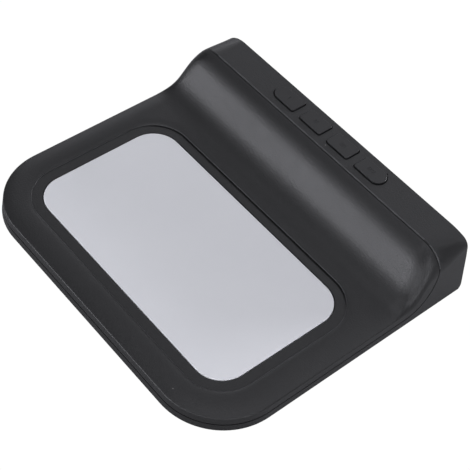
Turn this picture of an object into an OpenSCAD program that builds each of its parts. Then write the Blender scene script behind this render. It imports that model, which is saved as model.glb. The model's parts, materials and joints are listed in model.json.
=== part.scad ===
// Digital alarm clock with a low charging deck behind its display ridge.
// Origin under the middle of the clock, display face toward -Y, table at z = 0, sizes in mm.

/* [Overall] */
// Width along the display face
body_w = 180.6; // [172:1:196]
// Depth from the display face to the rear edge of the deck
body_d = 153; // [148:1:168]
// Height of the ridge above the table
body_h = 34; // [32:0.5:40]
// Height of the housing above the table, on its rubber feet
foot_h = 1; // [0.6:0.1:1.6]

/* [Housing] */
// Wall thickness of the moulded shells
wall = 2.2; // [2:0.1:2.6]
// Depth of the flat band on top of the ridge
band_d = 17.8; // [17.4:0.1:20]
// Run of the wave from the band down to the deck
wave_run = 28.7; // [26:0.1:32]
// Height of the deck rim above the table
deck_h = 10.8; // [10.6:0.1:12]
// Plan radius of the two rear corners
rear_r = 33.5; // [30:0.5:40]
// Edge radius of the ridge ends at the display face
face_edge_r = 8.3; // [6:0.1:10]
// Edge radius of the ridge ends at the seam
seam_edge_r = 13; // [10:0.5:14]
// Edge radius of the deck
deck_edge_r = 2.2; // [1.5:0.1:3]
// Height of the seam along the deck sides
seam_h = 5.6; // [5.2:0.1:6]
// Side radius of the seam where it sweeps up into the ridge
seam_sweep_r = 20; // [14:0.5:22]
// Width of the shadow gap between the two shells
seam_gap = 0.3; // [0.2:0.05:0.5]

/* [Charging deck] */
// Width of the charging mat
mat_w = 140.2; // [120:0.2:144]
// Depth of the charging mat
mat_d = 76.6; // [60:0.2:80]
// Corner radius of the charging mat
mat_r = 14; // [8:0.5:20]
// Thickness of the charging mat
mat_t = 1.8; // [1.4:0.1:2]
// Flat ring round the mat
ring_w = 5.7; // [3:0.1:6]
// Width of the rolled step from the ring up to the deck rim
step_w = 4.8; // [3:0.1:5]
// Height of the rolled step
step_h = 1.05; // [0.6:0.05:1.2]

/* [Keys] */
// Distance between neighbouring keys, centre to centre
key_pitch = 19.5; // [18:0.5:21]
// Width of the two middle keys
key_w = 14.3; // [11:0.1:15]
// Extra width of the two round-ended outer keys
key_extra = 2; // [0:0.1:3]
// Depth of the keys
key_d = 8.9; // [7:0.1:9.4]
// Height that the keys stand proud at rest
key_rise = 0.8; // [0.6:0.1:1.2]
// Key travel
key_travel = 0.5; // [0.3:0.1:0.6]

/* [Display] */
// Width of the display lens
lens_w = 160; // [140:1:164]
// Height of the display lens
lens_h = 24; // [22:0.5:25]
// Height of one digit
digit_h = 16; // [12:0.5:17]
// Width of one digit
digit_w = 9.6; // [7:0.2:11]
// Distance between digits, centre to centre
digit_pitch = 22; // [16:0.5:26]

/* [Hidden] */

// Overrun of every cut, fit clearance of seated pieces, running gap of the keys
cut = 1;
fit = 0.1;
key_gap = 0.25;
// Ratios: lean of the walls, shoulders of the ridge and the deck, tangents of the wave
draft_share = 0.12;
ridge_slope_share = 0.22;
deck_slope_share = 0.3;
crest_share = 0.36;
toe_share = 0.5;
// Sections and steps of the lofted housing
wave_n = 18;
band_n = 3;
corner_n = 12;
edge_n = 6;
shoulder_n = 3;
$fn = 48;

// Stations of the housing
y_front = -body_d / 2;
y_rear = body_d / 2;
y_seam = y_front + band_d;
y_toe = y_seam + wave_run;
ridge_reach = 16;
deck_reach = 9.2;
toe_chamfer = 0.9;
floor_z = foot_h + wall;
roof_z = body_h - wall;

function mix(a, b, t) = a + (b - a) * t;
function ease(t) = t * t * (3 - 2 * t);
function bez(a, b, c, d, t) =
    a * pow(1 - t, 3) + 3 * b * t * pow(1 - t, 2) + 3 * c * t * t * (1 - t) + d * pow(t, 3);
function bez_slope(a, b, c, d, t) =
    3 * (b - a) * pow(1 - t, 2) + 6 * (c - b) * t * (1 - t) + 3 * (d - c) * t * t;
// Side profile of the wave, from the seam at t = 0 to the toe at t = 1
wave_a = [y_seam, body_h];
wave_b = [y_seam + crest_share * wave_run, body_h];
wave_c = [y_toe - toe_share * wave_run, deck_h];
wave_d = [y_toe, deck_h];
function wave(t) = bez(wave_a, wave_b, wave_c, wave_d, t);
function wave_tangent(t) = bez_slope(wave_a, wave_b, wave_c, wave_d, t);
function wave_inside(t, depth) =
    let (g = wave_tangent(t), n = norm(g)) wave(t) + depth * [g[1], -g[0]] / n;

// One column of the loft: a plan point, its inward normal, the height of its crown, the edge
// radius, the reach of the shoulder and the shoulder's slope where it meets the edge
lean = atan(draft_share);
function edge_low(zc, r) = draft_share * (zc + r * sin(lean) - foot_h - toe_chamfer) + r * cos(lean);
function edge_z(zt, r, reach, s) =
    let (a = 90 - atan(s), k = draft_share * (r * sin(lean) - foot_h - toe_chamfer) + r * cos(lean))
    (zt - r * sin(a) - s / 2 * (reach - k + r * cos(a))) / (1 - s * draft_share / 2);
function column(p, m, zt, r, reach, s) =
    let (zc = edge_z(zt, r, reach, s), ci = edge_low(zc, r), a1 = 90 - atan(s),
         ie = ci - r * cos(a1), ze = zc + r * sin(a1))
    [for (q = concat(
        [[toe_chamfer, foot_h], [0, foot_h + toe_chamfer]],
        [for (k = [0 : edge_n]) let (a = mix(lean, a1, k / edge_n))
            [ci - r * cos(a), zc + r * sin(a)]],
        [for (k = [1 : shoulder_n]) let (u = k / shoulder_n)
            [mix(ie, reach, u), mix(ze, zt, 2 * u - u * u)]]))
        [p[0] + m[0] * q[0], p[1] + m[1] * q[0], q[1]]];

// Columns of the left side from the display face to the middle of the rear edge
half = body_w / 2;
left_columns = concat(
    [for (k = [0 : band_n - 1]) let (u = k / band_n)
        column([-half, mix(y_front, y_seam, u)], [1, 0], body_h,
               mix(face_edge_r, seam_edge_r, u), ridge_reach, ridge_slope_share)],
    [for (k = [0 : wave_n]) let (u = k / wave_n, w = wave(u), e = ease(u))
        column([-half, w[0]], [1, 0], w[1], mix(seam_edge_r, deck_edge_r, e),
               mix(ridge_reach, deck_reach, e), mix(ridge_slope_share, deck_slope_share, e))],
    [for (k = [0 : corner_n]) let (a = 180 - 90 * k / corner_n)
        column([-half + rear_r + rear_r * cos(a), y_rear - rear_r + rear_r * sin(a)],
               [-cos(a), -sin(a)], deck_h, deck_edge_r, deck_reach, deck_slope_share)]);
cn = len(left_columns);
cm = len(left_columns[0]);

module housing_form() {
    cols = concat(left_columns, [for (i = [cn - 1 : -1 : 0])
        [for (q = left_columns[i]) [-q[0], q[1], q[2]]]]);
    n = 2 * cn;
    function id(i, j) = i * cm + j;
    polyhedron(points = [for (c = cols) for (q = c) q],
        faces = concat(
            [for (i = [0 : n - 2]) for (j = [0 : cm - 2]) [id(i, j), id(i + 1, j), id(i + 1, j + 1)]],
            [for (i = [0 : n - 2]) for (j = [0 : cm - 2]) [id(i, j), id(i + 1, j + 1), id(i, j + 1)]],
            [for (i = [0 : cn - 2]) [id(i, cm - 1), id(i + 1, cm - 1), id(n - 2 - i, cm - 1), id(n - 1 - i, cm - 1)]],
            [for (i = [0 : cn - 2]) [id(i, 0), id(n - 1 - i, 0), id(n - 2 - i, 0), id(i + 1, 0)]],
            [for (j = [0 : cm - 2]) [id(0, j), id(0, j + 1), id(n - 1, j + 1), id(n - 1, j)]]),
        convexity = 6);
}

// Flat outlines with exact round corners
module rrect(w, d, r) {
    square([w - 2 * r, d], center = true);
    square([w, d - 2 * r], center = true);
    for (sx = [-1, 1]) for (sy = [-1, 1])
        translate([sx * (w / 2 - r), sy * (d / 2 - r)]) circle(r);
}
module plate(w, d, r, t) {
    linear_extrude(t) rrect(w, d, r);
}
module cube_at(x, y, z, w, d, h) {
    translate([x - w / 2, y - d / 2, z]) cube([w, d, h]);
}

// Side outlines of what lies above and below the seam, set back from it by gap
sweep_steps = 12;
function seam_line(gap) = concat(
    [[y_seam + gap, body_h + cut], [y_seam + gap, seam_h + seam_sweep_r]],
    [for (k = [1 : sweep_steps]) let (a = 180 + 90 * k / sweep_steps, r = seam_sweep_r - gap)
        [y_seam + seam_sweep_r + r * cos(a), seam_h + seam_sweep_r + r * sin(a)]],
    [[y_rear + cut, seam_h + gap]]);
module above_seam(gap) {
    polygon(concat(seam_line(gap), [[y_rear + cut, body_h + cut]]));
}
module below_seam(gap) {
    polygon(concat(seam_line(gap), [[y_rear + cut, foot_h - cut], [y_front - cut, foot_h - cut],
        [y_front - cut, body_h + cut]]));
}
module along_x(w) {
    translate([-w / 2, 0, 0]) rotate([90, 0, 90]) linear_extrude(w) children();
}
module along_y(y0, y1) {
    translate([0, y1, 0]) rotate([90, 0, 0]) linear_extrude(y1 - y0) children();
}

// The hollow inside: a ridge chamber, the space under the wave and the flat deck chamber
deck_skin = 1.6;
mat_proud = 0.15;
ring_z = deck_h - step_h;
mat_bottom = ring_z + mat_proud - mat_t;
chamber_top = mat_bottom - deck_skin;
module hollow_front_view(top, run) {
    polygon([[-half + wall + draft_share * wall, floor_z], [-half + wall + draft_share * seam_h, seam_h],
        [-half + wall + run / 2, mix(seam_h, top, 0.72)], [-half + wall + run, top],
        [half - wall - run, top], [half - wall - run / 2, mix(seam_h, top, 0.72)],
        [half - wall - draft_share * seam_h, seam_h], [half - wall - draft_share * wall, floor_z]]);
}
module hollow() {
    // Ridge chamber behind the display face
    along_y(y_front + wall, y_seam + wall) hollow_front_view(roof_z, ridge_reach);
    // Space under the wave
    intersection() {
        along_x(body_w) polygon(concat([[y_seam, floor_z], [y_seam, roof_z]],
            [for (k = [0 : wave_n]) let (q = wave_inside(k / wave_n, wall))
                [q[0], max(q[1], chamber_top)]],
            [[y_toe, chamber_top], [y_toe + wall, chamber_top], [y_toe + wall, floor_z]]));
        along_y(y_seam, y_toe + wall) hollow_front_view(roof_z, ridge_reach + wall);
    }
    // Deck chamber with the rear corners
    translate([0, 0, floor_z]) linear_extrude(chamber_top - floor_z) {
        translate([-half + deck_wall, y_toe]) square([body_w - 2 * deck_wall, y_rear - rear_r - y_toe]);
        translate([-half + rear_r, y_toe]) square([body_w - 2 * rear_r, y_rear - deck_wall - y_toe]);
        for (sx = [-1, 1]) translate([sx * (half - rear_r), y_rear - rear_r]) circle(rear_r - deck_wall);
    }
}
deck_wall = wall + draft_share * chamber_top;

// Charging mat, its pocket and the shallow dish round it
mat_rear_margin = 19.7;
mat_y = y_rear - mat_rear_margin - mat_d / 2;
mat_line = 0.3;
dish_n = 5;
dish_q = 8;
function dish_ring(grow, z) = let (w = mat_w / 2 + ring_w + grow, d = mat_d / 2 + ring_w + grow,
        r = mat_r + ring_w + grow)
    [for (q = [0 : 3]) for (k = [0 : dish_q]) let (a = 90 * q + 90 * k / dish_q,
            sx = (q == 0 || q == 3) ? 1 : -1, sy = q < 2 ? 1 : -1)
        [sx * (w - r) + r * cos(a), mat_y + sy * (d - r) + r * sin(a), z]];
module dish() {
    rings = concat([for (k = [0 : dish_n]) let (a = 90 - 90 * k / dish_n)
            dish_ring(step_w * (1 - sin(a)), ring_z + step_h * cos(a))],
        [dish_ring(step_w, deck_h + cut)]);
    m = 4 * (dish_q + 1);
    n = len(rings);
    function id(i, j) = i * m + j % m;
    polyhedron(points = [for (c = rings) for (q = c) q],
        faces = concat(
            [for (i = [0 : n - 2]) for (j = [0 : m - 1]) [id(i, j), id(i + 1, j), id(i + 1, j + 1)]],
            [for (i = [0 : n - 2]) for (j = [0 : m - 1]) [id(i, j), id(i + 1, j + 1), id(i, j + 1)]],
            [[for (j = [0 : m - 1]) id(0, j)]],
            [[for (j = [m - 1 : -1 : 0]) id(n - 1, j)]]),
        convexity = 4);
}

// Screws that join the shells, with their bosses
boss_d = 6.4;
screw_d = 2;
screw_head_d = 4.2;
screw_head_t = 1.4;
screw_l = 5.4;
screw_loose = 0.2;
screw_front_in = 12;
screw_rear_in = 10.4;
screw_toe = 4;
screw_places = [[-half + screw_front_in, y_toe - screw_toe], [half - screw_front_in, y_toe - screw_toe],
    [-half + rear_r + screw_toe, y_rear - screw_rear_in], [half - rear_r - screw_toe, y_rear - screw_rear_in]];
screw_z = floor_z - screw_head_t + fit;

// Lap strip under the seam on the ridge, carried by the upper shell
lap_w = body_w - 4 * ridge_reach;
lap_reach = 3;
lap_t = 1.2;

module lap_strip() {
    translate([-lap_w / 2, y_seam - lap_reach, roof_z - lap_t - fit])
        cube([lap_w, lap_reach + wall + lap_reach, lap_t]);
    translate([-lap_w / 2, y_seam + seam_gap, roof_z - fit - cut]) cube([lap_w, wall, cut + wall / 2]);
}
module upper_shell() color([0.16, 0.16, 0.17]) difference() {
    housing_form();
    union() {
        along_x(body_w + 2 * cut) below_seam(seam_gap / 2);
        difference() {
            hollow();
            for (p = screw_places) translate([p[0], p[1], floor_z]) cylinder(d = boss_d, h = roof_z);
            lap_strip();
        }
        dish();
        translate([0, mat_y, mat_bottom])
            plate(mat_w + 2 * mat_line, mat_d + 2 * mat_line, mat_r + mat_line, mat_t + step_h + cut);
        for (p = screw_places) translate([p[0], p[1], foot_h])
            cylinder(d = screw_d + fit, h = screw_z + screw_l + fit - foot_h);
    }
}

// Keys: outlines seen from above, in the middle of the band
key_set = 4.9;
key_y = y_seam - key_set - key_d / 2;
key_corner = 1;
key_flange = 0.8;
key_flange_t = 0.8;
key_stem_d = 4;
key_tops = [1, 0, 0, -1];
key_xs = [for (k = [0 : 3]) (1.5 - k) * key_pitch + key_tops[k] * key_extra / 2];
module key_outline(k, grow) {
    w = key_w + abs(key_tops[k]) * key_extra + 2 * grow;
    d = key_d + 2 * grow;
    r = key_corner + grow;
    if (key_tops[k] == 0) rrect(w, d, r);
    if (key_tops[k] != 0) mirror([key_tops[k] > 0 ? 0 : 1, 0]) {
        translate([w / 2 - d / 2, 0]) circle(d / 2);
        translate([-w / 2 + r, -d / 2]) square([w - r - d / 2, d]);
        translate([-w / 2, -d / 2 + r]) square([w - d / 2, d - 2 * r]);
        for (sy = [-1, 1]) translate([-w / 2 + r, sy * (d / 2 - r)]) circle(r);
    }
}
key_top = body_h + key_rise;
flange_top = roof_z - fit;
key_stem_l = 0.7;
switch_top = flange_top - key_flange_t - key_stem_l - key_travel - fit;
module button(k) {
    translate([key_xs[k], key_y, flange_top - key_flange_t])
        linear_extrude(key_flange_t) key_outline(k, key_flange);
    translate([key_xs[k], key_y, flange_top - key_flange_t])
        linear_extrude(key_top - flange_top + key_flange_t) key_outline(k, 0);
    translate([key_xs[k], key_y, flange_top - key_flange_t - key_stem_l])
        cylinder(d = key_stem_d, h = key_stem_l + key_flange_t);
}
module button_1() color([0.2, 0.2, 0.21]) button(0);
module button_2() color([0.2, 0.2, 0.21]) button(1);
module button_3() color([0.2, 0.2, 0.21]) button(2);
module button_4() color([0.2, 0.2, 0.21]) button(3);

// Key board with its switches, hung on two posts under the band
board_t = 1.2;
switch_body = 4.6;
switch_body_t = 1.6;
switch_stud_d = 2.4;
switch_stud_t = 0.7;
key_board_top = switch_top - switch_stud_t - switch_body_t;
key_board_end = 9;
key_board_w = 4 * key_pitch + key_board_end * 2;
key_board_d = key_d + 2;
post_d = 5;
post_x = key_board_w / 2 - post_d / 2;
module key_board() color([0.1, 0.35, 0.18]) difference() {
    cube_at(0, key_y, key_board_top - board_t, key_board_w, key_board_d, board_t);
    for (sx = [-1, 1]) translate([sx * post_x, key_y, key_board_top - board_t - cut])
        cylinder(d = screw_d + fit, h = board_t + 2 * cut);
}
module tactile_switches() color([0.25, 0.25, 0.27]) for (x = key_xs) {
    cube_at(x, key_y, key_board_top, switch_body, switch_body, switch_body_t);
    translate([x, key_y, key_board_top + switch_body_t]) cylinder(d = switch_stud_d, h = switch_stud_t);
}

// Display: lens in the face, reflector with its segments, board in two guides
face_z = (foot_h + body_h) / 2;
lens_t = 1.4;
lens_r = 4;
lens_line = 0.15;
window_lip = 3;
digit_bar = 2;
digit_cut = 0.35;
reflector_d = 5;
reflector_edge = 1.4;
reflector_side = 5;
reflector_h = digit_h + 2 * reflector_edge;
reflector_w = 3 * digit_pitch + digit_w + 2 * reflector_side;
reflector_y = y_front + wall + fit;
display_lift = 3.7;
display_z = floor_z + display_lift + reflector_h / 2;
display_board_y = reflector_y + reflector_d + fit;
guide_w = 3;
display_board_w = reflector_w + 2 * guide_w;
display_board_h = reflector_h;
guide_h = 14;
colon_d = 2.2;
digit_xs = [-1.5 * digit_pitch, -0.5 * digit_pitch, 0.5 * digit_pitch, 1.5 * digit_pitch];

// One bar of a digit, pointed at both ends
module bar(l, grow) {
    h = digit_bar / 2 + grow;
    e = l / 2 - digit_cut + grow;
    polygon([[-e, 0], [-e + h, h], [e - h, h], [e, 0], [e - h, -h], [-e + h, -h]]);
}
module seven_bars(grow) {
    l = digit_w - digit_bar;
    v = (digit_h - digit_bar) / 2;
    for (k = [-1, 0, 1]) translate([0, k * v]) bar(l, grow);
    for (sx = [-1, 1]) for (sy = [-1, 1])
        translate([sx * l / 2, sy * v / 2]) rotate(90) bar(v, grow);
}
module all_bars(grow) {
    for (x = digit_xs) translate([x, 0]) seven_bars(grow);
    for (sy = [-1, 1]) translate([0, sy * digit_h / 5]) circle(d = colon_d + 2 * grow);
}
module display_lens() color([0.05, 0.03, 0.03])
    translate([0, y_front + lens_t, face_z]) rotate([90, 0, 0]) plate(lens_w, lens_h, lens_r, lens_t);
module display_reflector() color([0.85, 0.85, 0.83])
    translate([0, reflector_y + reflector_d, display_z]) rotate([90, 0, 0]) difference() {
        linear_extrude(reflector_d) square([reflector_w, reflector_h], center = true);
        translate([0, 0, -cut]) linear_extrude(reflector_d + 2 * cut) all_bars(fit / 2);
    }
module digit_segments() color([0.9, 0.15, 0.1])
    translate([0, reflector_y + reflector_d, display_z]) rotate([90, 0, 0])
        linear_extrude(reflector_d - fit) all_bars(0);
module display_board() color([0.1, 0.35, 0.18])
    translate([0, display_board_y + board_t, display_z]) rotate([90, 0, 0])
        linear_extrude(board_t) square([display_board_w, display_board_h], center = true);

// Boards on the floor of the housing
standoff_h = 2.6;
floor_board_z = floor_z + standoff_h;
main_board_w = 76;
main_board_d = 19;
floor_board_in = 6.6;
floor_board_y = y_seam + floor_board_in;
standoff_d = 4.4;
pin_d = 1.8;
pin_in = 3;
charger_board_w = 40;
charger_end_gap = 3;
main_end_gap = 14.1;
main_board_x = -half + wall + main_end_gap + main_board_w / 2;
charger_board_x = half - wall - charger_end_gap - charger_board_w / 2;
charger_tab_w = 12;
socket_w = 9;
socket_t = 3.2;
socket_l = 7.6;
socket_set = 7;
socket_y = y_seam - socket_set;
socket_z = floor_board_z + board_t;
socket_edge = 1.4;
main_pins = [for (sx = [-1, 1]) for (sy = [-1, 1])
    [main_board_x + sx * (main_board_w / 2 - pin_in), floor_board_y + sy * (main_board_d / 2 - pin_in)]];
charger_pins = [for (sx = [-1, 1])
    [charger_board_x + sx * (charger_board_w / 2 - pin_in), floor_board_y + main_board_d / 2 - pin_in]];
module pinned(pins) {
    difference() {
        children();
        for (p = pins) translate([p[0], p[1], floor_board_z - cut]) cylinder(d = pin_d + fit, h = board_t + 2 * cut);
    }
}
module main_board() color([0.1, 0.35, 0.18]) pinned(main_pins)
    cube_at(main_board_x, floor_board_y, floor_board_z, main_board_w, main_board_d, board_t);
charger_right = charger_board_x + charger_board_w / 2;
module charger_board() color([0.1, 0.35, 0.18]) pinned(charger_pins) {
    cube_at(charger_board_x, floor_board_y, floor_board_z, charger_board_w, main_board_d, board_t);
    translate([charger_right - charger_tab_w, socket_y - socket_w / 2 - socket_edge, floor_board_z])
        cube([charger_tab_w, floor_board_y - socket_y + socket_w / 2 + socket_edge, board_t]);
}
chip_w = 9;
chip_t = 1.4;
cap_d = 6.3;
cap_h = 7;
part_pitch = 13;
module main_components() color([0.12, 0.12, 0.13]) translate([main_board_x, floor_board_y, floor_board_z + board_t]) {
    cube_at(0, 0, 0, chip_w, chip_w, chip_t);
    cube_at(part_pitch, 0, 0, chip_w / 2, chip_w, chip_t);
    translate([2 * part_pitch, 0, 0]) cylinder(d = cap_d, h = cap_h);
    cube_at(-part_pitch, 0, 0, chip_w / 3, chip_w, chip_t * 2);
}
coil_box = 7;
coil_box_h = 4;
module charger_components() color([0.3, 0.3, 0.32]) translate([charger_board_x, floor_board_y, floor_board_z + board_t]) {
    cube_at(0, 0, 0, coil_box, coil_box, coil_box_h);
    cube_at(-part_pitch, 0, 0, chip_w / 2, chip_w / 2, chip_t);
    translate([part_pitch - cap_d / 2, 0, 0]) cylinder(d = cap_d, h = cap_h);
}
buzzer_d = 12;
buzzer_h = 6;
buzzer_hole_d = 2;
module buzzer() color([0.08, 0.08, 0.08])
    translate([main_board_x - 2 * part_pitch, floor_board_y, floor_board_z + board_t]) difference() {
        cylinder(d = buzzer_d, h = buzzer_h);
        translate([0, 0, buzzer_h - buzzer_hole_d]) cylinder(d = buzzer_hole_d, h = buzzer_hole_d + cut);
    }

// Power socket through the hidden end of the lower shell
socket_tongue_t = 0.7;
socket_shell_t = 0.3;
socket_sunk = 0.4;
socket_face_x = half - draft_share * (socket_z + socket_t - foot_h) - socket_sunk;
module socket_outline(grow) {
    r = socket_t / 2 + grow - fit;
    rrect(socket_w + 2 * grow, socket_t + 2 * grow, r);
}
module power_socket() color([0.7, 0.7, 0.72])
    translate([socket_face_x - socket_l, socket_y, socket_z + socket_t / 2]) rotate([90, 0, 90]) {
        difference() {
            linear_extrude(socket_l) socket_outline(0);
            translate([0, 0, socket_shell_t * 4]) linear_extrude(socket_l) socket_outline(-socket_shell_t);
        }
        linear_extrude(socket_l - socket_tongue_t) square([socket_w - socket_t, socket_tongue_t], center = true);
    }

// Ribbon from the key board down to the main board
ribbon_t = 0.3;
ribbon_w = 12;
ribbon_x = -key_pitch * 1.5;
module key_ribbon() color([0.75, 0.7, 0.6]) {
    top = key_board_top - board_t - fit;
    translate([ribbon_x - ribbon_w / 2, key_y, top - ribbon_t]) cube([ribbon_w, key_board_d / 2 + ribbon_t, ribbon_t]);
    translate([ribbon_x - ribbon_w / 2, key_y + key_board_d / 2, floor_board_z + board_t + ribbon_t])
        cube([ribbon_w, ribbon_t, top - floor_board_z - board_t - ribbon_t]);
    translate([ribbon_x - ribbon_w / 2, key_y + key_board_d / 2, floor_board_z + board_t + fit])
        cube([ribbon_w, floor_board_y - main_board_d / 2 + pin_in - key_y - key_board_d / 2, ribbon_t]);
}

// Back-up cell in its holder, under a screwed door
cell_d = 20;
cell_t = 2.2;
cell_x = -50;
cell_in = 17;
cell_y = y_toe + cell_in;
holder_wall = 1.4;
holder_roof = 0.6;
door_t = 1.4;
door_lap = 3.3;
door_tail = 8;
door_w = cell_d + 2 * holder_wall + door_lap;
door_d = door_w + door_tail;
door_r = 3;
door_y = cell_y - door_tail / 2;
door_screw_y = cell_y - cell_d / 2 - holder_wall - door_lap;
cell_z = foot_h + door_t + fit;
holder_top = cell_z + cell_t + holder_roof + fit;
module cell_holder() color([0.2, 0.2, 0.2]) translate([cell_x, cell_y, floor_z]) difference() {
    cylinder(d = cell_d + 2 * holder_wall, h = holder_top - floor_z);
    translate([0, 0, -cut]) cylinder(d = cell_d + 2 * fit, h = cell_z + cell_t + fit - floor_z + cut);
}
module coin_cell() color([0.8, 0.8, 0.82]) translate([cell_x, cell_y, cell_z]) cylinder(d = cell_d, h = cell_t);
door_screw_l = 4;
module screw_body(l) {
    cylinder(d = screw_head_d, h = screw_head_t);
    cylinder(d = screw_d, h = l);
}
door_head_z = foot_h + fit;
module battery_door() color([0.15, 0.15, 0.16]) difference() {
    translate([cell_x, door_y, foot_h]) plate(door_w, door_d, door_r, door_t);
    translate([cell_x, door_screw_y, foot_h - cut]) cylinder(d = screw_d + screw_loose, h = door_t + 2 * cut);
    translate([cell_x, door_screw_y, foot_h - cut]) cylinder(d = screw_head_d + screw_loose, h = cut + door_t / 2);
}
module door_screw() color([0.6, 0.6, 0.62]) translate([cell_x, door_screw_y, foot_h]) {
    cylinder(d = screw_head_d, h = door_t / 2 - fit);
    cylinder(d = screw_d, h = door_screw_l);
}

// Rubber feet in shallow seats, flat on the table
pad_d = 12;
pad_seat = 0.8;
pad_front_in = 14;
pad_side_in = 16;
pad_rear_in = 22;
pad_rear_side = 30;
pad_places = [[-half + pad_side_in, y_front + pad_front_in], [half - pad_side_in, y_front + pad_front_in],
    [-half + pad_rear_side, y_rear - pad_rear_in], [half - pad_rear_side, y_rear - pad_rear_in]];
pad_edge = 0.4;
module rubber_feet() color([0.1, 0.1, 0.1]) for (p = pad_places) translate([p[0], p[1], 0])
    rotate_extrude() polygon([[0, 0], [pad_d / 2 - pad_edge, 0], [pad_d / 2, pad_edge],
        [pad_d / 2, foot_h + pad_seat - fit], [0, foot_h + pad_seat - fit]]);
module housing_screws() color([0.6, 0.6, 0.62]) for (p = screw_places) translate([p[0], p[1], screw_z - screw_head_t + fit])
    screw_body(screw_l);

// Charging coil on its ferrite sheet, both stuck under the deck skin
coil_od = 42;
coil_id = 20;
coil_t = 1;
sheet_t = 0.6;
sheet_d = 46;
module charging_coil() color([0.75, 0.42, 0.2]) translate([0, mat_y, chamber_top - fit - coil_t]) difference() {
    cylinder(d = coil_od, h = coil_t);
    translate([0, 0, -cut]) cylinder(d = coil_id, h = coil_t + 2 * cut);
}
module ferrite_sheet() color([0.15, 0.14, 0.14])
    translate([0, mat_y, chamber_top - 2 * fit - coil_t - sheet_t]) cylinder(d = sheet_d, h = sheet_t);
module charging_mat() color([0.77, 0.77, 0.78])
    translate([0, mat_y, mat_bottom + fit]) plate(mat_w, mat_d, mat_r, mat_t - fit);

// Lower shell: floor, front band with key slots, display window, bosses, guides and pins
face_round = 3.2;
module face_bottom_cut() {
    translate([0, y_front, foot_h]) along_x(body_w + 2 * cut) difference() {
        translate([-cut, -cut]) square([face_round + cut, face_round + cut]);
        translate([face_round, face_round]) circle(face_round);
    }
}
module inner_works() {
    for (p = concat(main_pins, charger_pins)) translate([p[0], p[1], floor_z - cut]) {
        cylinder(d = standoff_d, h = standoff_h + cut);
        cylinder(d = pin_d, h = standoff_h + cut + board_t);
    }
    for (sx = [-1, 1]) {
        translate([sx * post_x, key_y, key_board_top]) cylinder(d = post_d, h = roof_z + cut - key_board_top);
        translate([sx * post_x, key_y, key_board_top - board_t]) cylinder(d = screw_d, h = board_t + cut);
        difference() {
            cube_at(sx * (display_board_w / 2), display_board_y + board_t / 2, floor_z - cut, 2 * guide_w - 2 * fit,
                    board_t + 2 * guide_w, guide_h + cut);
            cube_at(sx * (display_board_w / 2 - guide_w), display_board_y + board_t / 2, floor_z + display_lift - fit,
                    2 * guide_w + 2 * fit, board_t + 2 * fit, guide_h + cut);
        }
    }
    translate([cell_x, door_screw_y, floor_z - cut]) cylinder(d = boss_d - 1.4 * screw_loose, h = cut + chamber_top - fit - floor_z);
}
module lower_shell() color([0.19, 0.19, 0.2]) difference() {
    housing_form();
    union() {
        along_x(body_w + 2 * cut) above_seam(-seam_gap / 2);
        difference() {
            hollow();
            inner_works();
            for (p = screw_places) translate([p[0], p[1], foot_h])
                cylinder(d = boss_d, h = seam_h - seam_gap / 2 - foot_h);
        }
        face_bottom_cut();
        // Lens seat and window in the display face
        translate([0, y_front + lens_t + fit, face_z]) rotate([90, 0, 0])
            plate(lens_w + 2 * lens_line, lens_h + 2 * lens_line, lens_r + lens_line, lens_t + fit + cut);
        translate([0, reflector_y, display_z]) rotate([90, 0, 0])
            linear_extrude(wall + cut)
                square([reflector_w - 2 * window_lip, reflector_h - reflector_edge], center = true);
        // Key slots
        for (k = [0 : 3]) translate([key_xs[k], key_y, roof_z - cut])
            linear_extrude(wall + 2 * cut) key_outline(k, key_gap);
        // Power socket
        translate([socket_face_x - socket_l, socket_y, socket_z + socket_t / 2]) rotate([90, 0, 90])
            linear_extrude(socket_l + 2 * cut + socket_sunk) socket_outline(fit);
        // Screws, feet, battery door and its bay
        for (p = screw_places) translate([p[0], p[1], foot_h - cut]) {
            cylinder(d = screw_d + screw_loose, h = seam_h);
            cylinder(d = screw_head_d + screw_loose, h = screw_z + cut - foot_h + fit);
        }
        for (p = pad_places) translate([p[0], p[1], foot_h - cut]) cylinder(d = pad_d + 2 * fit, h = pad_seat + cut);
        translate([cell_x, door_y, foot_h - cut]) plate(door_w + 2 * fit, door_d + 2 * fit, door_r + fit, door_t + cut + fit);
        translate([cell_x, cell_y, foot_h]) cylinder(d = cell_d + 2 * fit, h = wall + cut);
        translate([cell_x, door_screw_y, foot_h]) cylinder(d = screw_d + fit, h = door_screw_l + fit);
    }
}

upper_shell();
lower_shell();
charging_mat();
display_lens();
button_1();
button_2();
button_3();
button_4();
key_board();
tactile_switches();
key_ribbon();
display_reflector();
digit_segments();
display_board();
main_board();
main_components();
buzzer();
cell_holder();
coin_cell();
battery_door();
door_screw();
charging_coil();
ferrite_sheet();
charger_board();
charger_components();
power_socket();
rubber_feet();
housing_screws();
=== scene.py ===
# %% [markdown]
# A low digital alarm clock with a charging deck. The real one is two black mouldings: a front body
# that carries the display and the keys, and a cover that flows from the ridge down to the deck.
# The imported solids come in first. They are the frame: every piece made below rides on one of their
# bodies.

# %% The frame
import json
import math

import bmesh
import bpy
from mathutils import Matrix, Vector


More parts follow.
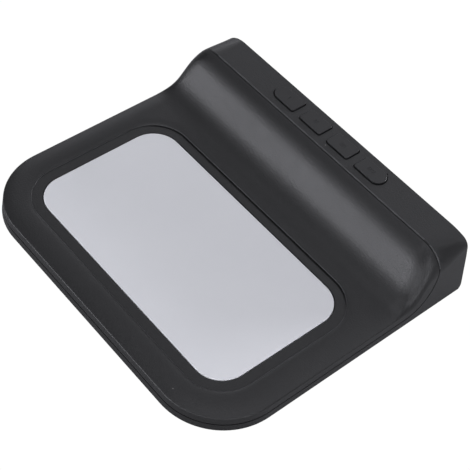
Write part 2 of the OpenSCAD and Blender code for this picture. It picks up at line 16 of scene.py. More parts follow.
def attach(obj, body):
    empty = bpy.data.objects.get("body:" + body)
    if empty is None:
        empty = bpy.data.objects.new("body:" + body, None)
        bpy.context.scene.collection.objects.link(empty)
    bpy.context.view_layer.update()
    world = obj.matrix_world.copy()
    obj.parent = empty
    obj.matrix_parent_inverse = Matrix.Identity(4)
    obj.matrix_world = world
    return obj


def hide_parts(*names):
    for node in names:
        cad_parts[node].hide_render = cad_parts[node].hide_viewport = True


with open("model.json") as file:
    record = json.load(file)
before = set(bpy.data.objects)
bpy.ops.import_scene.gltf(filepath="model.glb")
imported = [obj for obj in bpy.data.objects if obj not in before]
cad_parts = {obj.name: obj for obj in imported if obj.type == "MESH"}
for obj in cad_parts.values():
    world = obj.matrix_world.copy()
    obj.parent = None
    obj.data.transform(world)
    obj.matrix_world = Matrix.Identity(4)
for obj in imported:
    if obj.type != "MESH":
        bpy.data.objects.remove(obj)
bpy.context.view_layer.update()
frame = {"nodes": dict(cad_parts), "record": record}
MM = 0.001
nodes = frame["nodes"]

# %% [markdown]
# The camera is made before anything else, because every later choice is judged through it. The
# photograph looks down on the rear of the clock, over the deck toward the ridge. Its place was
# found by fitting the outline of the mat, the seams and the silhouette, and it is a long lens from
# 0.6 m away. A three-axis matrix says exactly which way it looks, with no target object needed.

# %% Camera
PHOTO_SIDE = 470
FOCAL_PIXELS = 1269.1
SENSOR = 36.0
CAMERA_RIGHT = Vector((-0.63415, -0.76886, 0.08186))
CAMERA_UP = Vector((0.62641, -0.44880, 0.63733))
CAMERA_BACK = Vector((-0.45328, 0.45544, 0.76623))
CAMERA_PLACE = Vector((-279.308, 267.808, 468.973)) * MM
camera_data = bpy.data.cameras.new("studio_camera")
camera_data.sensor_width = SENSOR
camera_data.lens = FOCAL_PIXELS / PHOTO_SIDE * SENSOR
camera_data.clip_start = 0.01
camera_data.clip_end = 20.0
camera = bpy.data.objects.new("studio_camera", camera_data)
bpy.context.scene.collection.objects.link(camera)
bpy.context.scene.camera = camera
facing = Matrix((CAMERA_RIGHT, CAMERA_UP, CAMERA_BACK)).transposed()
camera.matrix_world = Matrix.Translation(CAMERA_PLACE) @ facing.to_4x4()
print("lens:", round(camera_data.lens, 2), "mm")

# %% [markdown]
# The sizes repeat the named sizes of the solids, so that each dressed piece fits the solid it
# stands for. All of them are in millimetres and turn into metres only where a vertex is made. The
# outer form comes first: a tall ridge, a wave, a flat deck, and the seam that runs round them. In
# the photograph the near end of the display face is crisper than the far one, so the edge radii
# have a number for each end.

# %% Sizes of the outer form
HALF = 90.3
Y_FRONT, Y_REAR = -76.5, 76.5
FOOT, TOP, DECK = 1.0, 34.0, 10.8
Y_SEAM = Y_FRONT + 17.8
Y_TOE = Y_SEAM + 28.7
REAR_R, TOE, FACE_ROUND = 33.5, 0.9, 4.2
DRAFT, RIDGE_SLOPE, DECK_SLOPE = 0.12, 0.22, 0.3
RIDGE_REACH, DECK_REACH = 16.0, 9.2
FACE_EDGE_R = {-1: 5.5, 1: 14.0}
SEAM_EDGE_R = {-1: 13.0, 1: 11.5}
DECK_EDGE_R = 0.8
CREST, CREST_DROP, TOE_SHARE = 0.47, 3.8, 0.65
WALL, DECK_SKIN = 2.2, 1.6
FLOOR_Z, ROOF_Z = FOOT + WALL, TOP - WALL
SEAM_H, SWEEP_R, SEAM_GAP = 5.6, 20.0, 0.6
OVER = 1.0  # how far a cutter reaches past what it cuts
print("form:", 2 * HALF, "x", Y_REAR - Y_FRONT, "x", TOP, "mm")

# %% [markdown]
# The mat lies in a dish whose foot is a flat ring. The keys stand in a row in front of the seam,
# and the outer two are wider, with a round outer end. On the display face a lens is let in.

# %% Sizes of the mat, the keys and the display
MAT_W, MAT_D, MAT_R, MAT_T, MAT_EDGE, MAT_GAP = 140.2, 76.6, 14.0, 1.8, 0.3, 0.5
MAT_Y = Y_REAR - 19.7 - MAT_D / 2
RING_W, STEP_W, STEP_H = 5.7, 4.8, 1.05
RING_Z = DECK - STEP_H
GROOVE = ((1.5, 0.0), (0.6, 0.5), (0.0, 0.6))  # distance from the foot of the step, and depth
MAT_BOTTOM = RING_Z + 0.15 - MAT_T
CHAMBER_TOP = MAT_BOTTOM - DECK_SKIN
DECK_WALL = WALL + DRAFT * CHAMBER_TOP
KEY_PITCH, KEY_W, KEY_EXTRA, KEY_D, KEY_CORNER = 19.5, 14.3, 2.0, 8.9, 1.0
KEY_Y = Y_SEAM - 4.9 - KEY_D / 2
KEY_TOP, KEY_GAP, KEY_EDGE = TOP + 0.8, 0.55, 0.12
FLANGE_TOP, FLANGE_T = TOP - 2.3, 0.8
ROUND_END = (1, 0, 0, -1)  # the side of each key that is round
PINHOLE_X, PINHOLE_Y, PINHOLE_D = -35.4, Y_FRONT + 3.1, 0.7
FACE_Z = (FOOT + TOP) / 2
LENS_W, LENS_H, LENS_R, LENS_T, LENS_FIT = 160.0, 24.0, 4.0, 1.4, 0.15
DISPLAY_Z, DIGIT_PITCH = FLOOR_Z + 3.7 + 9.4, 22.0
WINDOW_W, WINDOW_H = 79.6, 17.4
print("mat:", MAT_W, "x", MAT_D, "mm, keys:", KEY_D, "mm deep, lens:", LENS_W, "x", LENS_H, "mm")

# %% [markdown]
# Below and inside are the fasteners, the feet, the battery door, the socket and the boards. They
# decide where the mouldings carry bosses, posts and holes.

# %% Sizes below and inside
FIT = 0.1
SCREWS = [(s * (HALF - 12.0), Y_TOE - 4.0) for s in (-1, 1)]
SCREWS += [(s * (HALF - REAR_R - 4.0), Y_REAR - 10.4) for s in (-1, 1)]
SCREW_D, HEAD_D, HEAD_T, SCREW_L, BOSS_D = 2.0, 4.2, 1.4, 5.4, 6.4
HEAD_Z, BOSS_TOP = FLOOR_Z - 2 * HEAD_T + 0.2, SEAM_H - 0.15
PADS = [(s * (HALF - 16.0), Y_FRONT + 14.0) for s in (-1, 1)]
PADS += [(s * (HALF - 30.0), Y_REAR - 22.0) for s in (-1, 1)]
PAD_SEAT_D, PAD_SEAT_H = 12.2, 0.8
DOOR_X, CELL_Y, CELL_D = -50.0, Y_TOE + 17.0, 20.0
DOOR_W, DOOR_D, DOOR_R, DOOR_T = 26.1, 34.1, 3.0, 1.4
DOOR_Y, DOOR_SCREW_Y, DOOR_BOSS_D, DOOR_SCREW_L = CELL_Y - 4.0, CELL_Y - 14.7, 6.1, 4.0
BOARD_Y, BOARD_Z, BOARD_T = Y_SEAM + 6.6, FLOOR_Z + 2.6, 1.2
PIN_DY, PIN_D, POST_D = 6.5, 1.8, 4.4
PINS = [(x, BOARD_Y + s * PIN_DY) for x in (-71.0, -1.0) for s in (-1, 1)]
PINS += [(x, BOARD_Y + PIN_DY) for x in (48.1, 82.1)]
KEY_POST_X, KEY_POST_D, KEY_POST_Z = 45.5, 5.0, 27.3
KEY_PIN_D, KEY_PIN_LOW, KEY_PIN_TOP = 2.0, 26.1, 27.8
GUIDE_X, GUIDE_Y, GUIDE_SIZE = 45.8, Y_FRONT + 8.0, (5.8, 7.2, 15.0)
GUIDE_SLOT_X, GUIDE_SLOT_Z, GUIDE_SLOT_SIZE = 42.8, FLOOR_Z + 3.6, (6.2, 1.4, 15.0)
SOCKET_Y, SOCKET_W, SOCKET_H, SOCKET_L = Y_SEAM - 7.0, 9.0, 3.2, 7.6
SOCKET_Z = BOARD_Z + BOARD_T + SOCKET_H / 2
SOCKET_X = HALF - DRAFT * (SOCKET_Z + SOCKET_H / 2 - FOOT) - 0.4
print("screws:", len(SCREWS), "feet:", len(PADS), "pins:", len(PINS))

# %% [markdown]
# A housing like this is a loft: one cross-section after another, joined by a skin. The helper
# below draws the first section as a wire and extrudes its edges from station to station, moving
# each new row of vertices onto the next section. The same helper makes closed bodies from rounded
# rings, where each section is a closed loop and the two ends are filled.

# %% Loft helpers
def metres(points):
    return [Vector(p) * MM for p in points]


def extrude_row(bm, row, edges, section):
    out = bmesh.ops.extrude_edge_only(bm, edges=edges)["geom"]
    fresh = {g for g in out if isinstance(g, bmesh.types.BMVert)}
    new_edges = [g for g in out if isinstance(g, bmesh.types.BMEdge) and set(g.verts) <= fresh]
    new_row = []
    for vert, place in zip(row, metres(section)):
        twin = next(e.other_vert(vert) for e in vert.link_edges if e.other_vert(vert) in fresh)
        twin.co = place
        new_row.append(twin)
    return new_row, new_edges


def loft(bm, sections, closed=False):
    row = [bm.verts.new(p) for p in metres(sections[0])]
    pairs = list(zip(row, row[1:])) + ([(row[-1], row[0])] if closed else [])
    edges = [bm.edges.new(pair) for pair in pairs]
    first = edges
    for section in sections[1:]:
        row, edges = extrude_row(bm, row, edges, section)
    return first, edges


print("loft helpers are ready")

# %% [markdown]
# A mesh is finished the same way each time: doubles are merged, slivers dissolved, and all normals
# turned outwards. A closed loft with both ends filled is the simplest body of all.

# %% Finishing a mesh
def tidy(bm, merge=0.002):
    bmesh.ops.remove_doubles(bm, verts=bm.verts, dist=merge * MM)
    bmesh.ops.dissolve_degenerate(bm, edges=bm.edges, dist=merge * MM)


def finish_mesh(bm, name):
    tidy(bm)
    bmesh.ops.recalc_face_normals(bm, faces=bm.faces)
    mesh = bpy.data.meshes.new(name)
    bm.to_mesh(mesh)
    bm.free()
    obj = bpy.data.objects.new(name, mesh)
    bpy.context.scene.collection.objects.link(obj)
    return obj


def ring_body(name, rings):
    bm = bmesh.new()
    for end in loft(bm, rings, closed=True):
        bmesh.ops.edgeloop_fill(bm, edges=end)
    return finish_mesh(bm, name)


print("finishing helpers are ready")

# %% [markdown]
# The side profile of the wave is one Bezier curve. It leaves the seam with a slope, so the cover
# falls away from the front body there, and it is level where it meets the deck.

# %% Curve of the wave
def mix(a, b, t):
    return a + (b - a) * t


def ease(t):
    return t * t * (3 - 2 * t)


def wave(t):
    knots = ((Y_SEAM, TOP), (mix(Y_SEAM, Y_TOE, CREST), TOP - CREST_DROP),
             (mix(Y_TOE, Y_SEAM, TOE_SHARE), DECK), (Y_TOE, DECK))
    weights = ((1 - t) ** 3, 3 * t * (1 - t) ** 2, 3 * t * t * (1 - t), t ** 3)
    return tuple(sum(w * k[i] for w, k in zip(weights, knots)) for i in (0, 1))


print("wave, half way:", [round(c, 2) for c in wave(0.5)], "mm")

# %% [markdown]
# One cross-section of an edge goes from the middle plane out along the foot, over a small toe, up
# the drafted wall, over the round edge and back along the gently rising top. Its arc touches both
# the wall and the slope of the top, so no crease is left between them.

# %% One cross-section
def column(x, y, inward, crown, radius, reach, slope, arc=14, shoulder=8):
    lean, turn = math.atan(DRAFT), math.pi / 2 - math.atan(slope)
    k = DRAFT * (radius * math.sin(lean) - FOOT - TOE) + radius * math.cos(lean)
    zc = (crown - radius * math.sin(turn) - slope / 2 * (reach - k + radius * math.cos(turn)))
    zc /= 1 - slope * DRAFT / 2
    ci = DRAFT * (zc + radius * math.sin(lean) - FOOT - TOE) + radius * math.cos(lean)
    path = [(TOE, FOOT), (0.0, FOOT + TOE)]
    for i in range(arc + 1):
        a = mix(lean, turn, i / arc)
        path.append((ci - radius * math.cos(a), zc + radius * math.sin(a)))
    start, low = path[-1]
    for i in range(1, shoulder + 1):
        u = i / shoulder
        path.append((mix(start, reach, u), mix(low, crown, 2 * u - u * u)))
    points = [(x + inward[0] * q, y + inward[1] * q, z) for q, z in path]
    first, last = points[0], points[-1]
    return [(0.0, first[1], first[2])] + points + [(0.0, last[1], last[2])]


def deck_column(x, y, inward):
    return column(x, y, inward, DECK, DECK_EDGE_R, DECK_REACH, DECK_SLOPE)


print("points in a cross-section:", len(deck_column(0.0, Y_REAR, (0, -1))))

# %% [markdown]
# Each station along the clock has its own crown height and edge radius: the ridge ends turn over a
# large radius, the deck over a small one, and the change is eased along the wave. The two halves
# are lofted apart, because each has its own radii, and merged in the middle plane.

# %% Stations and the whole form
def stations(side, band=8, rows=44, corner=28, deck=3):
    out = []
    x, inward = side * HALF, (-side, 0)
    for i in range(band):
        u = i / band
        radius = mix(FACE_EDGE_R[side], SEAM_EDGE_R[side], ease(u))
        out.append(column(x, mix(Y_FRONT, Y_SEAM, u), inward, TOP, radius, RIDGE_REACH,
                          RIDGE_SLOPE))
    for i in range(rows + 1):
        y, z = wave(i / rows)
        e = ease(i / rows)
        out.append(column(x, y, inward, z, mix(SEAM_EDGE_R[side], DECK_EDGE_R, e ** 2.5),
                          mix(RIDGE_REACH, DECK_REACH, e), mix(RIDGE_SLOPE, DECK_SLOPE, e)))
    for i in range(1, deck):
        out.append(deck_column(x, mix(Y_TOE, Y_REAR - REAR_R, i / deck), inward))
    for i in range(corner + 1):
        a = math.pi / 2 * i / corner
        out.append(deck_column(side * (HALF - REAR_R + REAR_R * math.cos(a)),
                               Y_REAR - REAR_R + REAR_R * math.sin(a),
                               (-side * math.cos(a), -math.sin(a))))
    return out + [deck_column(0.0, Y_REAR, (0, -1))]


def housing_form(name, merge=0.004):
    bm = bmesh.new()
    for side in (-1, 1):
        loft(bm, stations(side))
    bmesh.ops.remove_doubles(bm, verts=bm.verts, dist=merge * MM)
    rim = [e for e in bm.edges if e.is_boundary]
    bmesh.ops.edgeloop_fill(bm, edges=rim)
    return finish_mesh(bm, name)


print("stations on each half:", len(stations(1)))

# %% [markdown]
# Cutters are closed bodies that a Boolean modifier takes away. They are hidden helpers: each is
# applied and deleted at once, so that only the finished piece stays in the file. Several cutters
# that don't touch are gathered into one, because one cut is quicker than many.

# %% Boolean cut
def apply_modifiers(obj):
    graph = bpy.context.evaluated_depsgraph_get()
    mesh = bpy.data.meshes.new_from_object(obj.evaluated_get(graph), depsgraph=graph)
    old = obj.data
    obj.modifiers.clear()
    obj.data = mesh
    bpy.data.meshes.remove(old)


def cut(obj, tool, operation="DIFFERENCE"):
    mod = obj.modifiers.new("cut", "BOOLEAN")
    mod.operation = operation
    mod.solver = "EXACT"
    mod.object = tool
    apply_modifiers(obj)
    bpy.data.objects.remove(tool)


def gather(name, tools):
    bm = bmesh.new()
    for tool in tools:
        bm.from_mesh(tool.data)
        bpy.data.objects.remove(tool)
    return finish_mesh(bm, name)


print("cut helpers are ready")

# %% [markdown]
# Most outlines of this clock are rectangles with round corners. A ring of points goes round the
# four quarters in turn, and each corner may have a radius of its own, as the outer keys need.

# %% Rounded rings
QUARTERS = ((1, 1), (-1, 1), (-1, -1), (1, -1))


def corner_ring(w, d, radii, z, cx=0.0, cy=0.0, steps=12):
    points = []
    for quarter, ((sx, sy), r) in enumerate(zip(QUARTERS, radii)):
        for i in range(steps + 1):
            a = math.pi / 2 * (quarter + i / steps)
            points.append((cx + sx * (w / 2 - r) + r * math.cos(a),
                           cy + sy * (d / 2 - r) + r * math.sin(a), z))
    return points


def rounded_ring(w, d, r, z, cx=0.0, cy=0.0, steps=12):
    return corner_ring(w, d, (r,) * 4, z, cx, cy, steps)


def plate_body(name, w, d, r, z0, z1, cy, cx=0.0):
    return ring_body(name, [rounded_ring(w, d, r, z, cx=cx, cy=cy) for z in (z0, z1)])


print("points in a rounded ring:", len(rounded_ring(MAT_W, MAT_D, MAT_R, 0.0)))

# %% [markdown]
# The other cutters are a plain outline, pulled along one axis: a side view along X, a front view
# along Y, and round pillars and blocks along Z.

# %% Prisms, pillars and blocks
def prism_x(name, outline, half_width):
    return ring_body(name, [[(s * half_width, y, z) for y, z in outline] for s in (-1, 1)])


def prism_y(name, outline, y0, y1):
    return ring_body(name, [[(x, y, z) for x, z in outline] for y in (y0, y1)])


def circle(x, y, d, z, steps=32):
    turns = [2 * math.pi * i / steps for i in range(steps)]
    return [(x + d / 2 * math.cos(a), y + d / 2 * math.sin(a), z) for a in turns]


def pillar(x, y, d, z0, z1, steps=32):
    return ring_body("pillar", [circle(x, y, d, z, steps) for z in (z0, z1)])


def block(x, y, z, w, d, h):
    corners = [(sx * w / 2, sy * d / 2) for sx, sy in QUARTERS]
    return ring_body("block", [[(x + cx, y + cy, height) for cx, cy in corners]
                               for height in (z, z + h)])


print("points round a pillar:", len(circle(0.0, 0.0, 1.0, 0.0)))

# %% [markdown]
# A moulded housing is thin: 2.2 mm of plastic round a hollow. The hollow is made once as a closed
# body of its own, from a chamber in the ridge, the space under the wave and the low deck chamber.

# %% The hollow
def ridge_view(top, run, knee=0.72):
    w = HALF - WALL
    left = [(-w + DRAFT * WALL, FLOOR_Z), (-w + DRAFT * SEAM_H, SEAM_H),
            (-w + run / 2, mix(SEAM_H, top, knee)), (-w + run, top)]
    return left + [(-x, z) for x, z in reversed(left)]


def under_wave(steps=24, near=0.01):
    path = [(Y_SEAM, FLOOR_Z)]
    for i in range(steps + 1):
        (y0, z0), (y1, z1) = wave(max(i / steps - near, 0.0)), wave(min(i / steps + near, 1.0))
        run = math.hypot(y1 - y0, z1 - z0)
        y, z = wave(i / steps)
        path.append((y + WALL * (z1 - z0) / run, max(z - WALL * (y1 - y0) / run, CHAMBER_TOP)))
    return path + [(Y_TOE + WALL, CHAMBER_TOP), (Y_TOE + WALL, FLOOR_Z)]


def deck_plan(z, steps=20):
    w, r, y_start = HALF - DECK_WALL, REAR_R - DECK_WALL, Y_TOE + 0.4
    right = [(HALF - REAR_R + r * math.cos(a), Y_REAR - REAR_R + r * math.sin(a), z)
             for a in (math.pi / 2 * i / steps for i in range(steps + 1))]
    left = [(-x, y, z) for x, y, _ in reversed(right)]
    return [(w, y_start, z)] + right + left + [(-w, y_start, z)]


def hollow():
    form = prism_x("hollow", under_wave(), HALF)
    limit = ridge_view(ROOF_Z, RIDGE_REACH + WALL)
    cut(form, prism_y("limit", limit, Y_SEAM + 0.5, Y_TOE + WALL), "INTERSECT")
    ridge = ridge_view(ROOF_Z, RIDGE_REACH)
    cut(form, prism_y("ridge", ridge, Y_FRONT + WALL, Y_SEAM + WALL), "UNION")
    cut(form, ring_body("deck", [deck_plan(z) for z in (FLOOR_Z, CHAMBER_TOP)]), "UNION")
    return form


print("chamber: z", round(FLOOR_Z, 2), "to", round(ROOF_Z, 2), "mm")

# %% [markdown]
# Posts, bosses and guides are taken out of the hollow, so that they stay as plastic when it is cut
# from a shell. Cutting the small body is far quicker than adding posts to the large one.

# %% What stands in the hollow
def floor_works():
    low = FLOOR_Z - OVER
    posts = [pillar(x, y, POST_D, low, BOARD_Z) for x, y in PINS]
    posts += [pillar(x, y, BOSS_D, low, BOSS_TOP) for x, y in SCREWS]
    posts += [pillar(DOOR_X, DOOR_SCREW_Y, DOOR_BOSS_D, low, CHAMBER_TOP - FIT)]
    posts += [pillar(s * KEY_POST_X, KEY_Y, KEY_POST_D, KEY_POST_Z, ROOF_Z + OVER)
              for s in (-1, 1)]
    ends = [pillar(x, y, PIN_D, BOARD_Z - 0.5, BOARD_Z + BOARD_T) for x, y in PINS]
    ends += [pillar(s * KEY_POST_X, KEY_Y, KEY_PIN_D, KEY_PIN_LOW, KEY_PIN_TOP) for s in (-1, 1)]
    guides = [block(s * GUIDE_X, GUIDE_Y, low, *GUIDE_SIZE) for s in (-1, 1)]
    slots = [block(s * GUIDE_SLOT_X, GUIDE_Y, GUIDE_SLOT_Z, *GUIDE_SLOT_SIZE) for s in (-1, 1)]
    works = gather("works", guides)
    cut(works, gather("slots", slots))
    works = gather("works", [works] + posts)
    cut(works, gather("ends", ends), "UNION")
    return works


print("posts:", len(PINS) + len(SCREWS) + 3)

# %% [markdown]
# The cover is the part of the form above the seam. The seam runs down the ends of the ridge,
# sweeps back through a large radius and follows the deck sides, low down. The dish round the mat
# is a rounded ring that steps down with a rolled edge: level at the deck rim, and upright at its
# foot. The photograph shows a dark crease at the foot on the ridge side only, so the ring has a
# shallow groove there that fades round the corners.

# %% Seam and dish
def seam_line(gap, steps=40):
    path = [(Y_SEAM + gap, TOP + 2 * OVER), (Y_SEAM + gap, SEAM_H + SWEEP_R)]
    for i in range(1, steps + 1):
        a = math.pi + math.pi / 2 * i / steps
        path.append((Y_SEAM + SWEEP_R + (SWEEP_R - gap) * math.cos(a),
                     SEAM_H + SWEEP_R + (SWEEP_R - gap) * math.sin(a)))
    return path + [(Y_REAR + 2 * OVER, SEAM_H + gap)]


def above_seam(gap):
    path = [(Y_REAR + 2 * OVER, TOP + 2 * OVER)]
    return prism_x("above_seam", seam_line(gap) + path, HALF + 2 * OVER)


def below_seam(gap):
    path = [(Y_REAR + 2 * OVER, FOOT - 2 * OVER), (Y_FRONT - 2 * OVER, FOOT - 2 * OVER),
            (Y_FRONT - 2 * OVER, TOP + 2 * OVER)]
    return prism_x("below_seam", seam_line(gap) + path, HALF + 2 * OVER)


def dish_ring(grow, z, drop=0.0, fade=1.5):
    w, d, r = MAT_W / 2 + grow, MAT_D / 2 + grow, MAT_R + grow
    points = rounded_ring(2 * w, 2 * d, r, z, cy=MAT_Y)
    steps = len(points) // 4
    turns = [i // steps + i % steps / (steps - 1) for i in range(len(points))]
    toward_ridge = [max(-math.sin(math.pi / 2 * turn), 0.0) for turn in turns]
    return [(x, y, z - drop * t ** fade) for (x, y, z), t in zip(points, toward_ridge)]


def dish(steps=10):
    rings = [dish_ring(RING_W - inset, RING_Z, drop) for inset, drop in GROOVE]
    for i in range(1, steps + 1):
        a = math.pi / 2 * (1 - i / steps)
        rings.append(dish_ring(RING_W + STEP_W * (1 - math.sin(a)), RING_Z + STEP_H * math.cos(a)))
    rings.append(dish_ring(RING_W + STEP_W, DECK + OVER))
    return ring_body("dish", rings)


print("dish:", MAT_W + 2 * (RING_W + STEP_W), "x", MAT_D + 2 * (RING_W + STEP_W), "mm")

# %% [markdown]
# The cover is the whole form, less what lies below the seam, the hollow, the dish, the pocket of
# the mat and the screw holes. It is cut in that order, from the large to the small, and then takes
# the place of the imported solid. The pocket is a little wider than the mat, which leaves its gap.

# %% Cover
cover = housing_form("deck_cover")
cut(cover, below_seam(SEAM_GAP / 2))
room = hollow()
cut(room, gather("bosses", [pillar(x, y, BOSS_D, FLOOR_Z - OVER, ROOF_Z) for x, y in SCREWS]))
cut(cover, room)
cut(cover, dish())
cut(cover, plate_body("pocket", MAT_W + 2 * MAT_GAP, MAT_D + 2 * MAT_GAP, MAT_R + MAT_GAP,
                      MAT_BOTTOM, DECK + OVER, MAT_Y))
cut(cover, gather("screw_holes", [pillar(x, y, SCREW_D + FIT, FOOT, HEAD_Z + SCREW_L + FIT)
                                  for x, y in SCREWS]))
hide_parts("upper_shell")
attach(cover, "housing")
print("cover faces:", len(cover.data.polygons))

# %% [markdown]
# The front body is everything below and in front of the same seam. It has four slots for the keys,
# a pinhole beside the last key, a seat for the display lens with a window behind it, and the
# opening of the power socket on the end that the photograph does not show. From below it is cut
# for the feet, the screws, the battery door and the cell.

# %% Outlines of the openings
def key_outline(index, grow, z):
    side = ROUND_END[index]
    w = KEY_W + abs(side) * KEY_EXTRA + 2 * grow
    d = KEY_D + 2 * grow
    x = (1.5 - index) * KEY_PITCH + side * KEY_EXTRA / 2
    radii = [d / 2 if side and sx == side else KEY_CORNER + grow for sx, _ in QUARTERS]
    return corner_ring(w, d, radii, z, x, KEY_Y)


def face_plate(name, w, h, r, y0, y1, z):
    rings = [[(px, y, pz + z) for px, pz, _ in rounded_ring(w, h, r, 0.0)] for y in (y0, y1)]
    return ring_body(name, rings)


def face_round_tool(steps=12):
    turns = [math.pi * (1.5 - 0.5 * i / steps) for i in range(steps + 1)]
    arc = [(FACE_ROUND * (1 + math.cos(a)), FACE_ROUND * (1 + math.sin(a))) for a in turns]
    outline = [(-OVER, -OVER), (FACE_ROUND, -OVER)] + arc + [(-OVER, FACE_ROUND)]
    return prism_x("face_round", [(Y_FRONT + y, FOOT + z) for y, z in outline], HALF + 2 * OVER)


def socket_outline(x, grow):
    ring = rounded_ring(SOCKET_W + 2 * grow, SOCKET_H + 2 * grow, SOCKET_H / 2 - 0.1 + grow, 0.0,
                        steps=8)
    return [(x, SOCKET_Y + a, SOCKET_Z + b) for a, b, _ in ring]


print("points round a key:", len(key_outline(0, KEY_GAP, TOP)))

# %% [markdown]
# The front body is cut from the same form, along the same seam. What stands on its floor and under
# its roof was taken out of the hollow, so it stays. The openings come last.

# %% Front body
body = housing_form("ridge_body")
cut(body, above_seam(-SEAM_GAP / 2))
room = hollow()
cut(room, floor_works())
cut(body, room)
cut(body, face_round_tool())
openings = [ring_body("slot", [key_outline(k, KEY_GAP, z) for z in (ROOF_Z - OVER, TOP + OVER)])
            for k in range(4)]
openings += [pillar(PINHOLE_X, PINHOLE_Y, PINHOLE_D, ROOF_Z - OVER, TOP + OVER, 16)]
cut(body, gather("openings", openings))
cut(body, face_plate("seat", LENS_W + 2 * LENS_FIT, LENS_H + 2 * LENS_FIT, LENS_R + LENS_FIT,
                     Y_FRONT - OVER, Y_FRONT + LENS_T + FIT, FACE_Z))
window = [(s * WINDOW_W / 2, DISPLAY_Z + t * WINDOW_H / 2) for s, t in QUARTERS]
cut(body, prism_y("window", window, Y_FRONT + 1.0, Y_FRONT + WALL + OVER))
cut(body, ring_body("socket_hole", [socket_outline(x, FIT)
                                    for x in (SOCKET_X - SOCKET_L, HALF + OVER)]))
below = FOOT - OVER
heads = [pillar(x, y, HEAD_D + 2 * FIT, below, HEAD_Z + HEAD_T + 0.01) for x, y in SCREWS]
seats = [pillar(x, y, PAD_SEAT_D, below, FOOT + PAD_SEAT_H, 48) for x, y in PADS]
bay = plate_body("bay", DOOR_W + 2 * FIT, DOOR_D + 2 * FIT, DOOR_R + FIT, below,
                 FOOT + DOOR_T + FIT, DOOR_Y, DOOR_X)
cut(body, gather("underside", heads + seats + [bay]))
holes = [pillar(x, y, SCREW_D + 2 * FIT, FOOT, SEAM_H + OVER) for x, y in SCREWS]
holes += [pillar(DOOR_X, DOOR_SCREW_Y, SCREW_D + FIT, FOOT, FOOT + DOOR_SCREW_L + FIT)]
holes += [pillar(DOOR_X, CELL_Y, CELL_D + 2 * FIT, FOOT, FLOOR_Z + OVER, 64)]
cut(body, gather("holes", holes))
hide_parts("lower_shell")
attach(body, "housing")
print("body faces:", len(body.data.polygons))

# %% [markdown]
# The mat is one satin sheet, a little proud of its ring, with a small rolled edge. The lens is a
# plain plate let into the display face; its edge is rounded later, with all the other edges.

# %% Mat
def soft_plate(name, rings_of, z0, z1, edge, steps=4):
    rings = [rings_of(0.0, z0)]
    for i in range(steps + 1):
        a = math.pi / 2 * i / steps
        rings.append(rings_of(-edge * (1 - math.cos(a)), z1 - edge + edge * math.sin(a)))
    return ring_body(name, rings)


def mat_ring(grow, z):
    return rounded_ring(MAT_W + 2 * grow, MAT_D + 2 * grow, MAT_R + grow, z, cy=MAT_Y)


mat = soft_plate("mat_sheet", mat_ring, MAT_BOTTOM + FIT, MAT_BOTTOM + MAT_T, MAT_EDGE)
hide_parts("charging_mat")
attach(mat, "housing")
print("mat faces:", len(mat.data.polygons))

# %% [markdown]
# The keys are flat caps with crisp edges; each has its own body because it is pressed on its own.
# Under the roof a key widens to a flange that keeps it in, and a stem reaches down to its switch.
# The real keys have faint marks that cannot be read, so these carry one to four plain engraved
# strokes, cut with small blocks.

# %% Keys and lens
STEM_D, STEM_L = 4.0, 0.7
MARK_PITCH, MARK_W, MARK_L, MARK_DEPTH = 1.15, 0.45, 2.2, 0.12


def key_cap(k, steps=3):
    low = FLANGE_TOP - FLANGE_T
    rings = [key_outline(k, FLANGE_T, low), key_outline(k, FLANGE_T, FLANGE_TOP),
             key_outline(k, 0.0, FLANGE_TOP)]
    for i in range(steps + 1):
        a = math.pi / 2 * i / steps
        rings.append(key_outline(k, -KEY_EDGE * (1 - math.cos(a)),
                                 KEY_TOP - KEY_EDGE + KEY_EDGE * math.sin(a)))
    cap = ring_body(f"key_cap_{k + 1}", rings)
    outline = key_outline(k, 0.0, 0.0)
    x = sum(p[0] for p in outline) / len(outline)
    cut(cap, pillar(x, KEY_Y, STEM_D, low - STEM_L, low + 0.3), "UNION")
    z = KEY_TOP - MARK_DEPTH
    strokes = [block(x + (i - k / 2) * MARK_PITCH, KEY_Y, z, MARK_W, MARK_L, OVER)
               for i in range(k + 1)]
    cut(cap, gather("strokes", strokes))
    return cap


keys = []
for k in range(4):
    key = key_cap(k)
    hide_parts(f"button_{k + 1}")
    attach(key, f"button_{k + 1}")
    keys.append(key)
lens = face_plate("smoked_lens", LENS_W, LENS_H, LENS_R, Y_FRONT, Y_FRONT + LENS_T, FACE_Z)
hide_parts("display_lens")
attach(lens, "housing")
print("key faces:", [len(key.data.polygons) for key in keys])

# %% [markdown]
# Behind the lens four digits of seven bars each stand in a white reflector. The bars are lit from
# behind, so which of them glow is only a choice of material: the clock shows eight minutes past
# ten in plain bar digits. Each bar is a pointed prism with a small chamfer on its front.

# %% Digit bars
SHOWN = "1008"
LIT = {"0": "abcdef", "1": "bc", "8": "abcdefg"}
DIGIT_X = [(i - 1.5) * DIGIT_PITCH for i in range(4)]
BAR_X, BAR_Z, BAR_T, BAR_GAP, BAR_CHAMFER = 3.8, 7.0, 2.0, 0.35, 0.2
BAR_BACK, BAR_FRONT = Y_FRONT + 7.3, Y_FRONT + 2.4
DOT_R, DOT_Z = 1.1, 3.2
BAR_PLACES = {"a": (0, BAR_Z, False), "g": (0, 0, False), "d": (0, -BAR_Z, False),
              "f": (-BAR_X, BAR_Z / 2, True), "b": (BAR_X, BAR_Z / 2, True),
              "e": (-BAR_X, -BAR_Z / 2, True), "c": (BAR_X, -BAR_Z / 2, True)}


def bar_ring(x, z, upright, y, shrink):
    h, e = BAR_T / 2 - shrink, (BAR_Z / 2 if upright else BAR_X) - BAR_GAP - shrink
    shape = [(-e, 0), (-e + h, h), (e - h, h), (e, 0), (e - h, -h), (-e + h, -h)]
    return [(x - b, y, z + a) if upright else (x + a, y, z + b) for a, b in shape]


